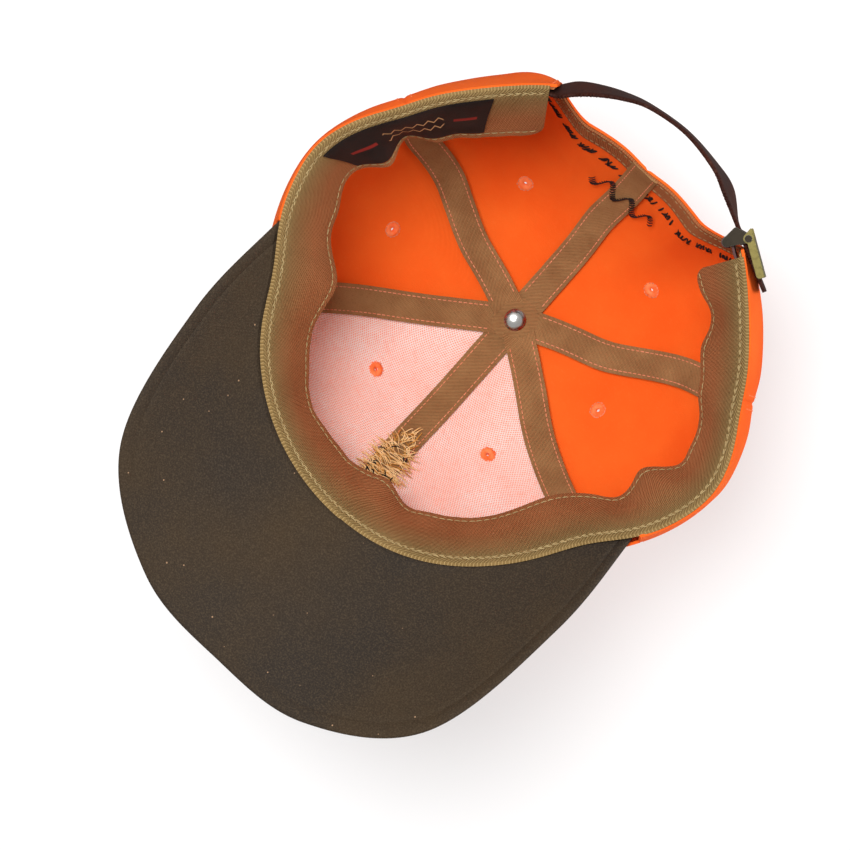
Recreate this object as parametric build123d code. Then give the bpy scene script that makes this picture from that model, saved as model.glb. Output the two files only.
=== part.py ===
from build123d import *
from math import asin, cos, degrees, radians, sin, sqrt
import os

# Six-panel cap with a curved visor, a twill sweatband and a leather strap with a flip buckle.
# Frame: millimetres, +Z to the crown, -Y to the visor, +X to the wearer's left.
# The origin is the centre of the head opening, on the plane of the rim.
# An azimuth is measured in degrees from the front (-Y), positive towards the wearer's left (+X).

# ---- crown shape: each meridian is a Bezier curve from the rim to the top
RIM_MEAN = 94.4            # mean radius of the crown's outer face at the rim
RIM_FRONT = 4.8            # how much the rim is longer to the front
RIM_LOBE = 3.0             # how much it bulges at the front, sides and back
RIM_FLAT = 0.8             # rounds off those bulges
CROWN_HEIGHT = 112.0
WALL_HANDLE = 62.0         # height of the lower handle, which makes the steep wall
TOP_RADIUS = 3.5           # hole at the top for the button's rivet
FRONT_BULGE = 12.0
SIDE_BULGE = 18.0
REAR_BULGE = 24.0
BACK_BULGE = -10.0         # the back leans inwards over the opening
FRONT_SHOULDER = 54.0      # radius of the upper handle, which makes the shoulder
SIDE_SHOULDER = 62.0

# ---- layers, as insets from the crown's outer face
PANEL_THICKNESS = 1.1
BUCKRAM = (1.25, 1.75)
BINDING = (1.25, 2.0)
TAPE_INSET = 2.3
TAPE_THICKNESS = 0.6
TAPE_STEP = 0.65           # the crossing tapes lie on top of each other at the crown's top
TAPE_WIDTH = 12.5
THREAD = (-0.8, -0.1)      # embroidery stands on the outer face

SEAMS = {"front": 0.0, "side": 55.0, "rear": 112.0, "back": 180.0}
PANELS = {
    "front_panel": (SEAMS["front"], SEAMS["side"]),
    "side_panel": (SEAMS["side"], SEAMS["rear"]),
    "back_panel": (SEAMS["rear"], SEAMS["back"]),
}
SECTION_STEP = 11.5        # largest angle between two lofted sections

# ---- half-moon opening at the back
ARCH_HALF_WIDTH = 46.5
ARCH_TOP = 52.0
ARCH_CENTRE = 14.0
BINDING_WIDTH = 8.5

# ---- visor: concentric shells about an axis that drops to the front
VISOR_RADIUS = 130.0       # underside
VISOR_TILT = 20.0
VISOR_AXIS_DROP = 82.2     # from the origin to the axis, square to the axis
COVER_THICKNESS = 0.8
BOARD_THICKNESS = 2.4
VISOR_BACK = -28.0         # where the visor's tips end
VISOR_OUTLINE = [(89.5, VISOR_BACK), (91.5, -75.0), (79.0, -132.0), (41.0, -162.5), (0.0, -168.0)]
BOARD_INSET = 2.2
VISOR_ROOT_INSET = 3.0     # the visor reaches in under the crown's wall by this
VISOR_CLEARANCE = 0.15

# ---- sweatband
BAND_INSET = 3.8
BAND_THICKNESS = 1.2
BAND_HEIGHT = 33.0
BAND_LEAN_FRONT = 15.0     # how far its free edge leans in
BAND_LEAN_SIDE = 11.0
BAND_END = 147.0
LABEL_FROM, LABEL_TO = 91.0, 131.0

# ---- button and eyelets
BUTTON_RADIUS = 7.5
BUTTON_HEIGHT = 5.0
RIVET_HEAD_RADIUS = 4.65
RIVET_SHANK_RADIUS = 1.9
EYELET_RADIUS = 3.2
EYELET_HOLE = 0.9
# azimuth, and place along the meridian from 0 at the rim to 1 at the top
EYELETS = {
    "front_left": (29.0, 0.63), "side_left": (85.0, 0.64), "back_left": (143.0, 0.67),
    "front_right": (-30.0, 0.66), "side_right": (-84.0, 0.72), "back_right": (-144.0, 0.66),
}

# ---- strap and buckle, in the buckle's own directions
STRAP_WIDTH = 15.0
STRAP_THICKNESS = 1.4
STRAP_MID_HEIGHT = 9.3
BUCKLE_AZIMUTH = -146.6    # the direction that the buckle faces
BUCKLE_LEAN = 6.5
PIN_OUT = 93.0             # from the crown's axis to the pin, along that direction
PIN_ALONG = 6.5            # from that direction's line to the pin, towards the opening
PIN_RADIUS = 0.75
PIN_CLEARANCE = 0.05
KNUCKLE_RADIUS = 1.2
STRAP_OUTER_FACE = -1.4    # from the pin's axis
TAIL_TILT = 7.0            # the tail runs outwards from the buckle's X, over the panel
METAL = 0.8                # thickness of the buckle's sheet metal
CHEEK_INNER = 7.8          # half the distance between the frame's cheeks
EAR_INNER = 8.95           # half the distance between the lever's ears
LEVER_LENGTH = 15.6
LEVER_OUTER_FACE = 2.2
LEVER_FLANGE = 3.0
LEVER_HEEL = -0.8          # end of the lever's plate, short of the pin to clear the cheeks when open
TAIL_START, TAIL_END = 7.8, -20.8
BAND_GAP = 0.3             # between the sewn part of the strap and the sliding tail
TAB_BAR = (0.9, -8.2)
TAB_BAR_RADIUS = 1.0
TAB_THICKNESS = 1.2
TAB_WIDTH = 12.0


def smooth(low, high, value):
    """0 below low, 1 above high, and an even S between them."""
    t = min(max((value - low) / (high - low), 0.0), 1.0)
    return t * t * (3 - 2 * t)


def off_front(azimuth):
    """The angle from the front, 0 to 180, on either side."""
    return abs((azimuth + 180) % 360 - 180)


def rim_radius(azimuth):
    a = radians(azimuth)
    return RIM_MEAN + RIM_FRONT * cos(a) + RIM_LOBE * cos(4 * a) - RIM_FLAT * cos(6 * a)


def meridian(azimuth, inset, top_inset=None):
    """Bezier control points (radius, height) of the crown at one azimuth."""
    top = inset if top_inset is None else top_inset
    angle = off_front(azimuth)
    bulge = FRONT_BULGE + (SIDE_BULGE - FRONT_BULGE) * smooth(0, 70, angle)
    bulge += (REAR_BULGE - SIDE_BULGE) * smooth(95, 118, angle)
    bulge += (BACK_BULGE - REAR_BULGE) * smooth(138, 160, angle)
    shoulder = FRONT_SHOULDER + (SIDE_SHOULDER - FRONT_SHOULDER) * smooth(0, 70, angle)
    rim = rim_radius(azimuth)
    return [
        (rim - inset, 0.0),
        (rim + bulge - inset, WALL_HANDLE - 0.4 * inset),
        (shoulder - 0.6 * top, CROWN_HEIGHT - top),
        (TOP_RADIUS, CROWN_HEIGHT - top),
    ]


def on_meridian(azimuth, t, inset, top_inset=None):
    """Radius and height of a point of the crown, t from 0 at the rim to 1 at the top."""
    points = meridian(azimuth, inset, top_inset)
    weights = [(1 - t) ** 3, 3 * t * (1 - t) ** 2, 3 * t * t * (1 - t), t ** 3]
    return tuple(sum(w * p[i] for w, p in zip(weights, points)) for i in range(2))


def at(azimuth, radius, height):
    a = radians(azimuth)
    return Vector(radius * sin(a), -radius * cos(a), height)


def crown_section(azimuth, outer, inner):
    """A layer's cross-section in one meridian plane."""
    out = [at(azimuth, r, z) for r, z in meridian(azimuth, outer)]
    inn = [at(azimuth, r, z) for r, z in meridian(azimuth, inner)]
    edges = [Bezier(*out), Line(out[-1], inn[-1]), Bezier(*inn[::-1]), Line(inn[0], out[0])]
    return Face(Wire(edges))


def steps(start, end, largest=SECTION_STEP):
    count = int(abs(end - start) / largest) + 1
    return [start + (end - start) * i / count for i in range(count + 1)]


def crown_layer(start, end, outer, inner):
    return loft([crown_section(a, outer, inner) for a in steps(start, end)])


def back_layer(outer, inner):
    """A layer over both back panels, lofted through the same sections as they are."""
    rear, back = SEAMS["rear"], SEAMS["back"]
    return crown_layer(rear, back, outer, inner) + crown_layer(-rear, -back, outer, inner)


def quad(corners):
    return Face(Wire([Line(corners[i], corners[(i + 1) % 4]) for i in range(4)]))


# ---- cutters

def arch_prism(half_width, top):
    """Half-moon column that runs out through the back."""
    rise = top - ARCH_CENTRE
    skirt = 40.0
    outline = Pos(0, ARCH_CENTRE) * Ellipse(half_width, rise)
    outline += Pos(0, ARCH_CENTRE - skirt / 2) * Rectangle(2 * half_width, skirt)
    return Pos(0, 130, 0) * Rot(90, 0, 0) * extrude(outline, 110)


def visor_cylinder(radius):
    """Solid cylinder about the visor's axis."""
    length = 420.0
    bar = Cylinder(radius, length)
    tilt = radians(VISOR_TILT)
    drop = VISOR_AXIS_DROP
    return Pos(0, drop * sin(tilt), -drop * cos(tilt)) * Rot(90 + VISOR_TILT, 0, 0) * bar


def visor_underside(x, y):
    """Height of the visor's underside over one point of the plan."""
    tilt = radians(VISOR_TILT)
    rise = sqrt(VISOR_RADIUS ** 2 - x * x) - VISOR_AXIS_DROP
    return (rise + y * sin(tilt)) / cos(tilt)


def visor_seat():
    """Everything under the visor's top face, in front of its tips."""
    top = VISOR_RADIUS + 2 * COVER_THICKNESS + BOARD_THICKNESS + VISOR_CLEARANCE
    depth = 160.0
    front = Pos(0, VISOR_BACK - depth / 2, 0) * Box(240, depth, 200)
    return visor_cylinder(top) & front


OPENING = arch_prism(ARCH_HALF_WIDTH, ARCH_TOP)
SEAT = visor_seat()


def eyelet_place(name):
    """Location on the crown's outer face, with Z along the outward normal."""
    azimuth, t = EYELETS[name]
    r, z = on_meridian(azimuth, t, 0)
    r2, z2 = on_meridian(azimuth, t + 0.01, 0)
    run, rise = at(azimuth, r2, z2) - at(azimuth, r, z), at(azimuth + 90, 1, 0)
    return Plane(at(azimuth, r, z), x_dir=rise, z_dir=rise.cross(run)).location


def make_panels():
    nodes = {}
    for name, (start, end) in PANELS.items():
        for side, sign in (("left", 1), ("right", -1)):
            place = eyelet_place(f"{name.split('_')[0]}_{side}")
            panel = crown_layer(sign * start, sign * end, 0, PANEL_THICKNESS)
            panel -= OPENING if name == "back_panel" else SEAT
            panel -= place * Cylinder(EYELET_RADIUS + 0.1, 8)
            nodes[f"{name}_{side}"] = panel
            ring = Cylinder(EYELET_RADIUS, 2.4) - Cylinder(EYELET_HOLE, 4)
            ring = fillet(ring.edges().filter_by(GeomType.CIRCLE).group_by(SortBy.RADIUS)[-1], 0.9)
            nodes[f"eyelet_{name.split('_')[0]}_{side}"] = place * Pos(0, 0, -0.6) * ring
    return nodes


def make_buckram():
    nodes = {}
    gap = 0.3
    for side, sign in (("left", 1), ("right", -1)):
        start, end = PANELS["front_panel"]
        sheet = crown_layer(sign * (start + gap), sign * (end - gap), *BUCKRAM) - SEAT
        nodes[f"buckram_{side}"] = sheet - eyelet_place(f"front_{side}") * Cylinder(EYELET_RADIUS + 0.1, 8)
    return nodes


def beside_seam(azimuth, side, t, inset, top_inset):
    """Point of a crown layer in the plane that lies `side` beside the seam's own plane."""
    turn = 0.0
    for _ in range(6):
        r, z = on_meridian(azimuth + turn, t, inset, top_inset)
        turn = degrees(asin(side / r))
    return at(azimuth + turn, r, z)


def tape_section(azimuth, side, layer):
    spans = [0.0, 0.15, 0.3, 0.45, 0.6, 0.75, 0.88, 0.975]
    top = TAPE_INSET + layer * TAPE_STEP
    out = [beside_seam(azimuth, side, t, TAPE_INSET, top) for t in spans]
    inner, top = TAPE_INSET + TAPE_THICKNESS, top + TAPE_THICKNESS
    inn = [beside_seam(azimuth, side, t, inner, top) for t in spans]
    edges = [Spline(*out), Line(out[-1], inn[-1]), Spline(*inn[::-1]), Line(inn[0], out[0])]
    return Face(Wire(edges))


def tape(azimuth, layer):
    half = TAPE_WIDTH / 2
    return loft([tape_section(azimuth, side, layer) for side in (-half, 0, half)])


def make_tapes():
    """Layer 0 lies against the panels at the top, and layer 2 is the last one sewn on."""
    top_layer = 2
    disc_top = CROWN_HEIGHT - TAPE_INSET - top_layer * TAPE_STEP
    disc = Pos(0, 0, disc_top - TAPE_THICKNESS / 2) * Cylinder(8.4, TAPE_THICKNESS)
    shank_hole = Pos(0, 0, CROWN_HEIGHT) * Cylinder(RIVET_SHANK_RADIUS + 0.1, 20)
    long_tape = tape(SEAMS["rear"], top_layer) + tape(-SEAMS["side"], top_layer) - SEAT
    above_binding = arch_prism(ARCH_HALF_WIDTH + 2, ARCH_TOP + 2)
    return {
        "seam_tape_long": long_tape + disc - shank_hole,
        "seam_tape_centre_front": tape(SEAMS["front"], 0) - SEAT,
        "seam_tape_centre_back": tape(SEAMS["back"], 0) - above_binding,
        "seam_tape_front_left": tape(SEAMS["side"], 1) - SEAT,
        "seam_tape_back_right": tape(-SEAMS["rear"], 1),
    }


def make_binding():
    outer = arch_prism(ARCH_HALF_WIDTH + BINDING_WIDTH, ARCH_TOP + BINDING_WIDTH)
    return {"back_opening_binding": back_layer(*BINDING) & (outer - OPENING)}


def band_foot(azimuth):
    """Height of the sweatband's lower edge: it hides the seam under the visor."""
    r = rim_radius(azimuth) - BAND_INSET
    place = at(azimuth, r, 0)
    under = visor_underside(place.X, place.Y) - 2.0
    return under + (-0.4 - under) * smooth(60, 84, off_front(azimuth))


def band_section(azimuth, inset, thickness, low=0.0, high=1.0):
    """A strip of the sweatband's height, leaning in towards its free edge."""
    angle = off_front(azimuth)
    lean = BAND_LEAN_FRONT + (BAND_LEAN_SIDE - BAND_LEAN_FRONT) * smooth(40, 110, angle)
    foot, outer = band_foot(azimuth), rim_radius(azimuth) - BAND_INSET - inset
    corners = [
        (outer - lean * low, foot + BAND_HEIGHT * low),
        (outer - lean * low - thickness, foot + BAND_HEIGHT * low),
        (outer - lean * high - thickness, foot + BAND_HEIGHT * high),
        (outer - lean * high, foot + BAND_HEIGHT * high),
    ]
    return quad([at(azimuth, r, z) for r, z in corners])


def make_sweatband():
    band = loft([band_section(a, 0, BAND_THICKNESS) for a in steps(-BAND_END, BAND_END, 14)])
    label_inset, label_thickness = BAND_THICKNESS + 0.1, 0.5
    strip = (label_inset, label_thickness, 0.22, 0.86)
    label = loft([band_section(a, *strip) for a in steps(LABEL_FROM, LABEL_TO)])
    return {"sweatband": band, "sweatband_label": label}


def visor_plan(inset, root_inset):
    """Column over the visor's outline, which ends at the crown's wall."""
    right = [(x - inset if x else x, y + inset * (y < -130)) for x, y in VISOR_OUTLINE]
    rim_points = [at(a, rim_radius(a) - root_inset, 0) for a in range(-72, 73, 12)]
    tips = [(rim_points[-1].X, rim_points[-1].Y), (rim_points[0].X, rim_points[0].Y)]
    front = tips[:1] + right[1:] + [(-x, y) for x, y in right[-2:0:-1]] + tips[1:]
    outline = Wire([Spline(*front), Spline(*rim_points)])
    return Pos(0, 0, -60) * extrude(Face(outline), 120, dir=(0, 0, 1))


def visor_shell(low, high, inset, root_inset):
    shell = visor_cylinder(VISOR_RADIUS + high) - visor_cylinder(VISOR_RADIUS + low)
    return visor_plan(inset, root_inset) & shell


def make_visor():
    low, high = COVER_THICKNESS, COVER_THICKNESS + BOARD_THICKNESS
    full = high + COVER_THICKNESS
    board = visor_shell(low, high, BOARD_INSET, VISOR_ROOT_INSET - 2.0)
    pocket = visor_shell(low - 0.02, high + 0.02, BOARD_INSET - 0.1, VISOR_ROOT_INSET - 1.9)
    under = visor_shell(0, high, 0, VISOR_ROOT_INSET) - pocket
    top = visor_shell(high + 0.04, full, 0, VISOR_ROOT_INSET)
    return {"visor_board": board, "visor_under_cover": under, "visor_top_cover": top}


def dome(radius, height):
    """Spherical cap that stands on the XY plane."""
    ball = (radius * radius + height * height) / (2 * height)
    cap = Pos(0, 0, height - ball) * Sphere(ball)
    return cap & Pos(0, 0, height / 2) * Box(3 * radius, 3 * radius, height)


def make_button():
    base = CROWN_HEIGHT + 0.1
    skin = 0.7
    shank_top = base + 3.0
    inside = dome(BUTTON_RADIUS - skin, BUTTON_HEIGHT - skin)
    shank_hole = Cylinder(RIVET_SHANK_RADIUS + 0.05, 6.2)
    shell = Pos(0, 0, base) * (inside - shank_hole)
    cover = Pos(0, 0, base) * (dome(BUTTON_RADIUS, BUTTON_HEIGHT) - inside)
    head_top = CROWN_HEIGHT - TAPE_INSET - 2 * TAPE_STEP - TAPE_THICKNESS - 0.05
    head = Pos(0, 0, head_top) * Rot(180, 0, 0) * dome(RIVET_HEAD_RADIUS, 2.3)
    shank_length = shank_top - head_top + 0.5
    shank = Pos(0, 0, shank_top - shank_length / 2) * Cylinder(RIVET_SHANK_RADIUS, shank_length)
    return {"crown_button_shell": shell, "crown_button_cover": cover, "crown_button_rivet": head + shank}


def make_embroidery():
    """Flat thread fields: a leaf on the front, and an arc of rope stitch over the opening."""
    leaf_half, leaf_low, leaf_high = 13.0, 56.0, 88.0
    low, high = (0, leaf_low), (0, leaf_high)
    middle = (leaf_low + leaf_high) / 2
    sides = [ThreePointArc(low, (leaf_half, middle), high), ThreePointArc(high, (-leaf_half, middle), low)]
    leaf = Rot(90, 0, 0) * extrude(Face(Wire(sides)), 130, dir=(0, 0, 1))
    front = crown_layer(-30, 30, *THREAD) & leaf
    inner = arch_prism(ARCH_HALF_WIDTH + 13, ARCH_TOP + 13)
    outer = arch_prism(ARCH_HALF_WIDTH + 18.5, ARCH_TOP + 18.5)
    above = Pos(0, 100, 26 + 60) * Box(200, 200, 120)
    back = back_layer(*THREAD) & (outer - inner) & above
    return {"front_embroidery": front, "back_embroidery": back}


# ---- buckle: X to the opening, Y outwards, Z along the pin

def buckle_plane():
    a = radians(BUCKLE_AZIMUTH)
    out = Vector(sin(a), -cos(a), 0)
    to_opening = Vector(-out.Y, out.X, 0) * -1
    lean = radians(BUCKLE_LEAN)
    up = Vector(0, 0, 1) * cos(lean) + out * sin(lean)
    pin = out * PIN_OUT + to_opening * PIN_ALONG + Vector(0, 0, STRAP_MID_HEIGHT)
    return Plane(pin, x_dir=to_opening, z_dir=up)


BUCKLE = buckle_plane()


def slab(x, y, z):
    """Box from its low and high value along each direction."""
    size = [high - low for low, high in (x, y, z)]
    return Pos(*[(low + high) / 2 for low, high in (x, y, z)]) * Box(*size)


def plates(outline, inner):
    """The same sheet-metal outline at both ends of the pin."""
    upper = Pos(0, 0, inner) * extrude(outline, METAL)
    return upper + mirror(upper, Plane.XY)


def make_buckle():
    pin_hole = Cylinder(PIN_RADIUS + PIN_CLEARANCE, 40)
    seat = STRAP_OUTER_FACE - STRAP_THICKNESS - 0.15
    rounds = Circle(1.5) + Pos(4.4, seat - 0.8) * Circle(1.0) + Pos(*TAB_BAR) * Circle(1.8)
    cheek = make_hull(rounds.edges())
    span = 2 * (CHEEK_INNER + METAL)
    base = Rot(0, 0, -TAIL_TILT) * slab((-1.2, 5.0), (seat - METAL, seat), (-span / 2, span / 2))
    bar = Pos(*TAB_BAR, 0) * Cylinder(TAB_BAR_RADIUS, span)
    frame = plates(cheek, CHEEK_INNER) + base + bar - pin_hole

    corners = [Pos(x, LEVER_OUTER_FACE - 0.4) * Circle(0.4) for x in (3.1, -3.0)]
    ear = make_hull((Circle(1.9) + corners).edges())
    flange = LEVER_OUTER_FACE - LEVER_FLANGE / 2
    ear += Pos(-LEVER_LENGTH / 2, flange) * RectangleRounded(LEVER_LENGTH, LEVER_FLANGE, 1.2)
    edge = EAR_INNER + METAL
    plate = slab((-LEVER_LENGTH, LEVER_HEEL), (LEVER_OUTER_FACE - METAL, LEVER_OUTER_FACE), (-edge, edge))
    knuckle = Cylinder(KNUCKLE_RADIUS, 2 * (CHEEK_INNER - 0.3))
    rise = LEVER_OUTER_FACE - 0.2
    web = slab((-2.0, 0.4), (1.0, rise), (-CHEEK_INNER + 0.3, CHEEK_INNER - 0.3))
    lever = plates(ear, EAR_INNER) + plate + knuckle + web - pin_hole

    reach = edge + 0.1
    pin = Cylinder(PIN_RADIUS, 2 * reach)
    for sign in (1, -1):
        pin += Pos(0, 0, sign * (reach + 0.25)) * Cylinder(1.4, 0.5)
    return {
        "buckle_frame": BUCKLE.location * frame,
        "buckle_lever": BUCKLE.location * lever,
        "buckle_pin": BUCKLE.location * pin,
    }


def make_tab():
    """Leather tab that loops round the frame's inner bar and is sewn in behind the panel."""
    x, y = TAB_BAR
    outer = TAB_BAR_RADIUS + 0.05 + TAB_THICKNESS
    loop = Pos(x, y) * (Circle(outer) - Circle(TAB_BAR_RADIUS + 0.05))
    length = 12.0
    foot = y + outer - TAB_THICKNESS / 2
    strip = Pos(x - length / 2, foot) * Rectangle(length, TAB_THICKNESS)
    hole = Pos(x, y) * Circle(TAB_BAR_RADIUS + 0.05)
    solid = Pos(0, 0, -TAB_WIDTH / 2) * extrude(loop + strip - hole, TAB_WIDTH)
    return {"buckle_tab": BUCKLE.location * solid}


def strap_quad(centre, out, lean):
    """Cross-section of the strap about its mid-line."""
    tilt = radians(lean)
    up = Vector(0, 0, 1) * cos(tilt) + out * sin(tilt)
    face = out * cos(tilt) - Vector(0, 0, 1) * sin(tilt)
    half_w, half_t = STRAP_WIDTH / 2, STRAP_THICKNESS / 2
    signs = [(-1, -1), (-1, 1), (1, 1), (1, -1)]
    return quad([centre + up * (half_w * a) + face * (half_t * b) for a, b in signs])


def make_strap():
    """The sewn end starts inside the left corner, and the loop flares out to the buckle."""
    left_end = ARCH_CORNER + 5.0
    inside = BINDING[1] + 0.1 + STRAP_THICKNESS / 2
    hidden = [(180 - left_end, 9), (180 - ARCH_CORNER, 5)]
    sections = []
    for azimuth, lean in hidden:
        r = on_meridian(azimuth, 0.052, inside)[0]
        sections.append(strap_quad(at(azimuth, r, STRAP_MID_HEIGHT), at(azimuth, 1, 0), lean))
    loop = [(153.5, 89.7, 13), (158.5, 91.7, 17), (164.5, 93.5, 13.5), (171, 94.9, 8.5), (181, 95.5, 8)]
    loop += [(191, 94.8, 12), (197.5, 93.6, 15)]
    for azimuth, r, lean in loop:
        sections.append(strap_quad(at(azimuth, r, STRAP_MID_HEIGHT), at(azimuth, 1, 0), lean))
    mid_face = STRAP_OUTER_FACE - STRAP_THICKNESS / 2
    a = radians(BUCKLE_AZIMUTH)
    tail_frame = BUCKLE.location * Rot(0, 0, -TAIL_TILT)
    end = (tail_frame * Pos(TAIL_START + BAND_GAP, mid_face, 0)).position
    sections.append(strap_quad(end, Vector(sin(a), -cos(a), 0), BUCKLE_LEAN))

    faces = (STRAP_OUTER_FACE - STRAP_THICKNESS, STRAP_OUTER_FACE)
    tail = slab((TAIL_END, TAIL_START), faces, (-STRAP_WIDTH / 2, STRAP_WIDTH / 2))
    corners = tail.edges().filter_by(Axis.Y).group_by(Axis.X)[0]
    return {"strap_band": loft(sections), "strap_tail": tail_frame * fillet(corners, 4.0)}


ARCH_CORNER = degrees(asin(ARCH_HALF_WIDTH / rim_radius(148.5)))


def write(nodes):
    os.makedirs("parts", exist_ok=True)
    for name, shape in nodes.items():
        solids = shape.solids()
        solid = solids[0] if len(solids) == 1 else Compound(children=list(solids))
        export_step(solid, f"parts/{name}.step")
        size = shape.bounding_box().size
        print(f"{name:26s} {len(solids)} {shape.volume:9.1f}  {size.X:6.1f} {size.Y:6.1f} {size.Z:6.1f}")


BUILDERS = [
    make_panels, make_buckram, make_tapes, make_binding, make_sweatband, make_visor,
    make_button, make_embroidery, make_buckle, make_tab, make_strap,
]
for build in BUILDERS:
    write(build())
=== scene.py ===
"""Six-panel cap with a strap and flip buckle, seen from below into the crown.

The CAD frame gives the buckle's metal and the button's shell. Every other piece is rebuilt here, on
the same crown surface as the CAD. Sizes are in millimetres until a mesh is made.
"""
import math
import bpy
import numpy as np
from mathutils import Matrix, Vector


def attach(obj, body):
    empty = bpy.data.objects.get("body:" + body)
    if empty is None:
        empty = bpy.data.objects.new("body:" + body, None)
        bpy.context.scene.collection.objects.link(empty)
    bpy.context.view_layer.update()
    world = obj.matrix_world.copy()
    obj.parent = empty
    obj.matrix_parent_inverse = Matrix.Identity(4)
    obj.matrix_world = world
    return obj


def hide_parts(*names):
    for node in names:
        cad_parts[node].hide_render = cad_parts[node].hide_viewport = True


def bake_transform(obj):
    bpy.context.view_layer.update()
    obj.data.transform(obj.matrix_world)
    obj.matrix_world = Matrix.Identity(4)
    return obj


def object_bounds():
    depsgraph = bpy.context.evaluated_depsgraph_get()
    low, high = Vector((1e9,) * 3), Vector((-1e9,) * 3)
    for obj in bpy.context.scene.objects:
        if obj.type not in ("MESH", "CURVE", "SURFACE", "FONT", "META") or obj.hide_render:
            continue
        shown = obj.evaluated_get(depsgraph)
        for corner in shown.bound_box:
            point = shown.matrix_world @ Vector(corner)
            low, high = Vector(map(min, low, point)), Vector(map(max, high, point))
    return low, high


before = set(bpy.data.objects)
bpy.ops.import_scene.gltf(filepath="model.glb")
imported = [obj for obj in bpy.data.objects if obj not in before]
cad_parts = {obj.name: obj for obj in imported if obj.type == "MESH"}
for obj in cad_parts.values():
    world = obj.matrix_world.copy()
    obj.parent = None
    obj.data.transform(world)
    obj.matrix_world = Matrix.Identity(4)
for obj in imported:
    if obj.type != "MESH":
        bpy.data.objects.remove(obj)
cad_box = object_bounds()
MM = 0.001
ROOT = "cap"
rng = np.random.default_rng(7)

# ------------------------------------------------------------------ crown shape, as in the CAD
RIM_MEAN, RIM_FRONT, RIM_LOBE, RIM_FLAT = 94.4, 4.8, 3.0, 0.8
CROWN_HEIGHT, WALL_HANDLE, TOP_RADIUS = 112.0, 62.0, 3.5
FRONT_BULGE, SIDE_BULGE, REAR_BULGE, BACK_BULGE = 12.0, 18.0, 24.0, -10.0
FRONT_SHOULDER, SIDE_SHOULDER = 54.0, 62.0
MERIDIAN_LENGTH = 165.0
PANEL_THICKNESS = 1.1
BUCKRAM = (1.25, 1.75)
BINDING = (1.25, 2.0)
TAPE_INSET, TAPE_THICKNESS, TAPE_STEP, TAPE_WIDTH = 2.3, 0.6, 0.65, 12.5
FRONT_SEAM, SIDE_SEAM, REAR_SEAM, BACK_SEAM = 0.0, 55.0, 112.0, 180.0
ARCH_HALF_WIDTH, ARCH_TOP, ARCH_CENTRE = 46.5, 52.0, 14.0
BINDING_WIDTH = 8.5
ARCH_CORNER = 31.2               # from the back's middle to the opening's corners, in degrees

VISOR_RADIUS, VISOR_TILT, VISOR_AXIS_DROP = 130.0, math.radians(20.0), 82.2
VISOR_THICKNESS, VISOR_BACK, VISOR_TIP_SIDE = 4.0, -28.0, 89.5
PANEL_STEP = VISOR_BACK - 3.5    # further to the front, the panels stand on the visor

BAND_THICKNESS, BAND_HEIGHT, BAND_END = 1.2, 33.0, 147.0
LABEL_LENGTH, LABEL_WIDTH = 63.0, 19.0
LABEL_START, LABEL_SPAN = 91.0, 40.0

EYELET_RADIUS, EYELET_HOLE, EYELET_CUT, EYELET_STITCHES = 3.2, 0.9, 1.9, 26
EYELETS = {
    "front_left": (29.0, 0.63), "side_left": (85.0, 0.64), "back_left": (143.0, 0.67),
    "front_right": (-30.0, 0.66), "side_right": (-84.0, 0.72), "back_right": (-144.0, 0.66),
}


def smooth(low, high, value):
    """A soft step from 0 at the low value to 1 at the high one."""
    t = np.clip((np.asarray(value, float) - low) / (high - low), 0, 1)
    return t * t * (3 - 2 * t)


def bell(value, centre, width):
    """A soft bump, 1 at the centre."""
    return np.exp(-((np.asarray(value, float) - centre) / width) ** 2)


def wrap(azimuth):
    """The azimuth between -180 and 180."""
    return (np.asarray(azimuth, float) + 180) % 360 - 180


def unit(vectors):
    """The vectors at length 1."""
    return vectors / np.maximum(np.linalg.norm(vectors, axis=-1, keepdims=True), 1e-9)


def polar(azimuth, r, z):
    """Points at an azimuth in degrees, a radius and a height."""
    a = np.radians(azimuth)
    return np.stack([r * np.sin(a), -r * np.cos(a), z], -1)


def halved(too_low, shape, top, steps):
    """The last value between 0 and top that is too low, and the first that isn't, found by halving."""
    low, high = np.zeros(shape), np.full(shape, top)
    for _ in range(steps):
        mid = (low + high) / 2
        below = too_low(mid)
        low, high = np.where(below, mid, low), np.where(below, high, mid)
    return low, high


def rim_radius(azimuth):
    a = np.radians(azimuth)
    return RIM_MEAN + RIM_FRONT * np.cos(a) + RIM_LOBE * np.cos(4 * a) - RIM_FLAT * np.cos(6 * a)


def meridian(azimuth, t, inset, top_inset=None):
    """Radius and height on the crown's Bezier meridian."""
    top = inset if top_inset is None else top_inset
    angle = abs(wrap(azimuth))
    bulge = FRONT_BULGE + (SIDE_BULGE - FRONT_BULGE) * smooth(0, 70, angle)
    bulge = bulge + (REAR_BULGE - SIDE_BULGE) * smooth(95, 118, angle)
    bulge = bulge + (BACK_BULGE - REAR_BULGE) * smooth(138, 160, angle)
    shoulder = FRONT_SHOULDER + (SIDE_SHOULDER - FRONT_SHOULDER) * smooth(0, 70, angle)
    rim = rim_radius(azimuth)
    w0, w1, w2, w3 = (1 - t) ** 3, 3 * t * (1 - t) ** 2, 3 * t * t * (1 - t), t ** 3
    r = w0 * (rim - inset) + w1 * (rim + bulge - inset) + w2 * (shoulder - 0.6 * top) + w3 * TOP_RADIUS
    z = w1 * (WALL_HANDLE - 0.4 * inset) + (w2 + w3) * (CROWN_HEIGHT - top)
    return r, z


SEAMS = (FRONT_SEAM, SIDE_SEAM, -SIDE_SEAM, REAR_SEAM, -REAR_SEAM, BACK_SEAM)
# How full the cloth is in mid-panel, how far it dips at a seam, and how far the dip and the foot reach
FULLNESS, SEAM_DIP, SEAM_REACH, FOOT_REACH = 0.7, 1.4, 9.0, 13.0
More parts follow.
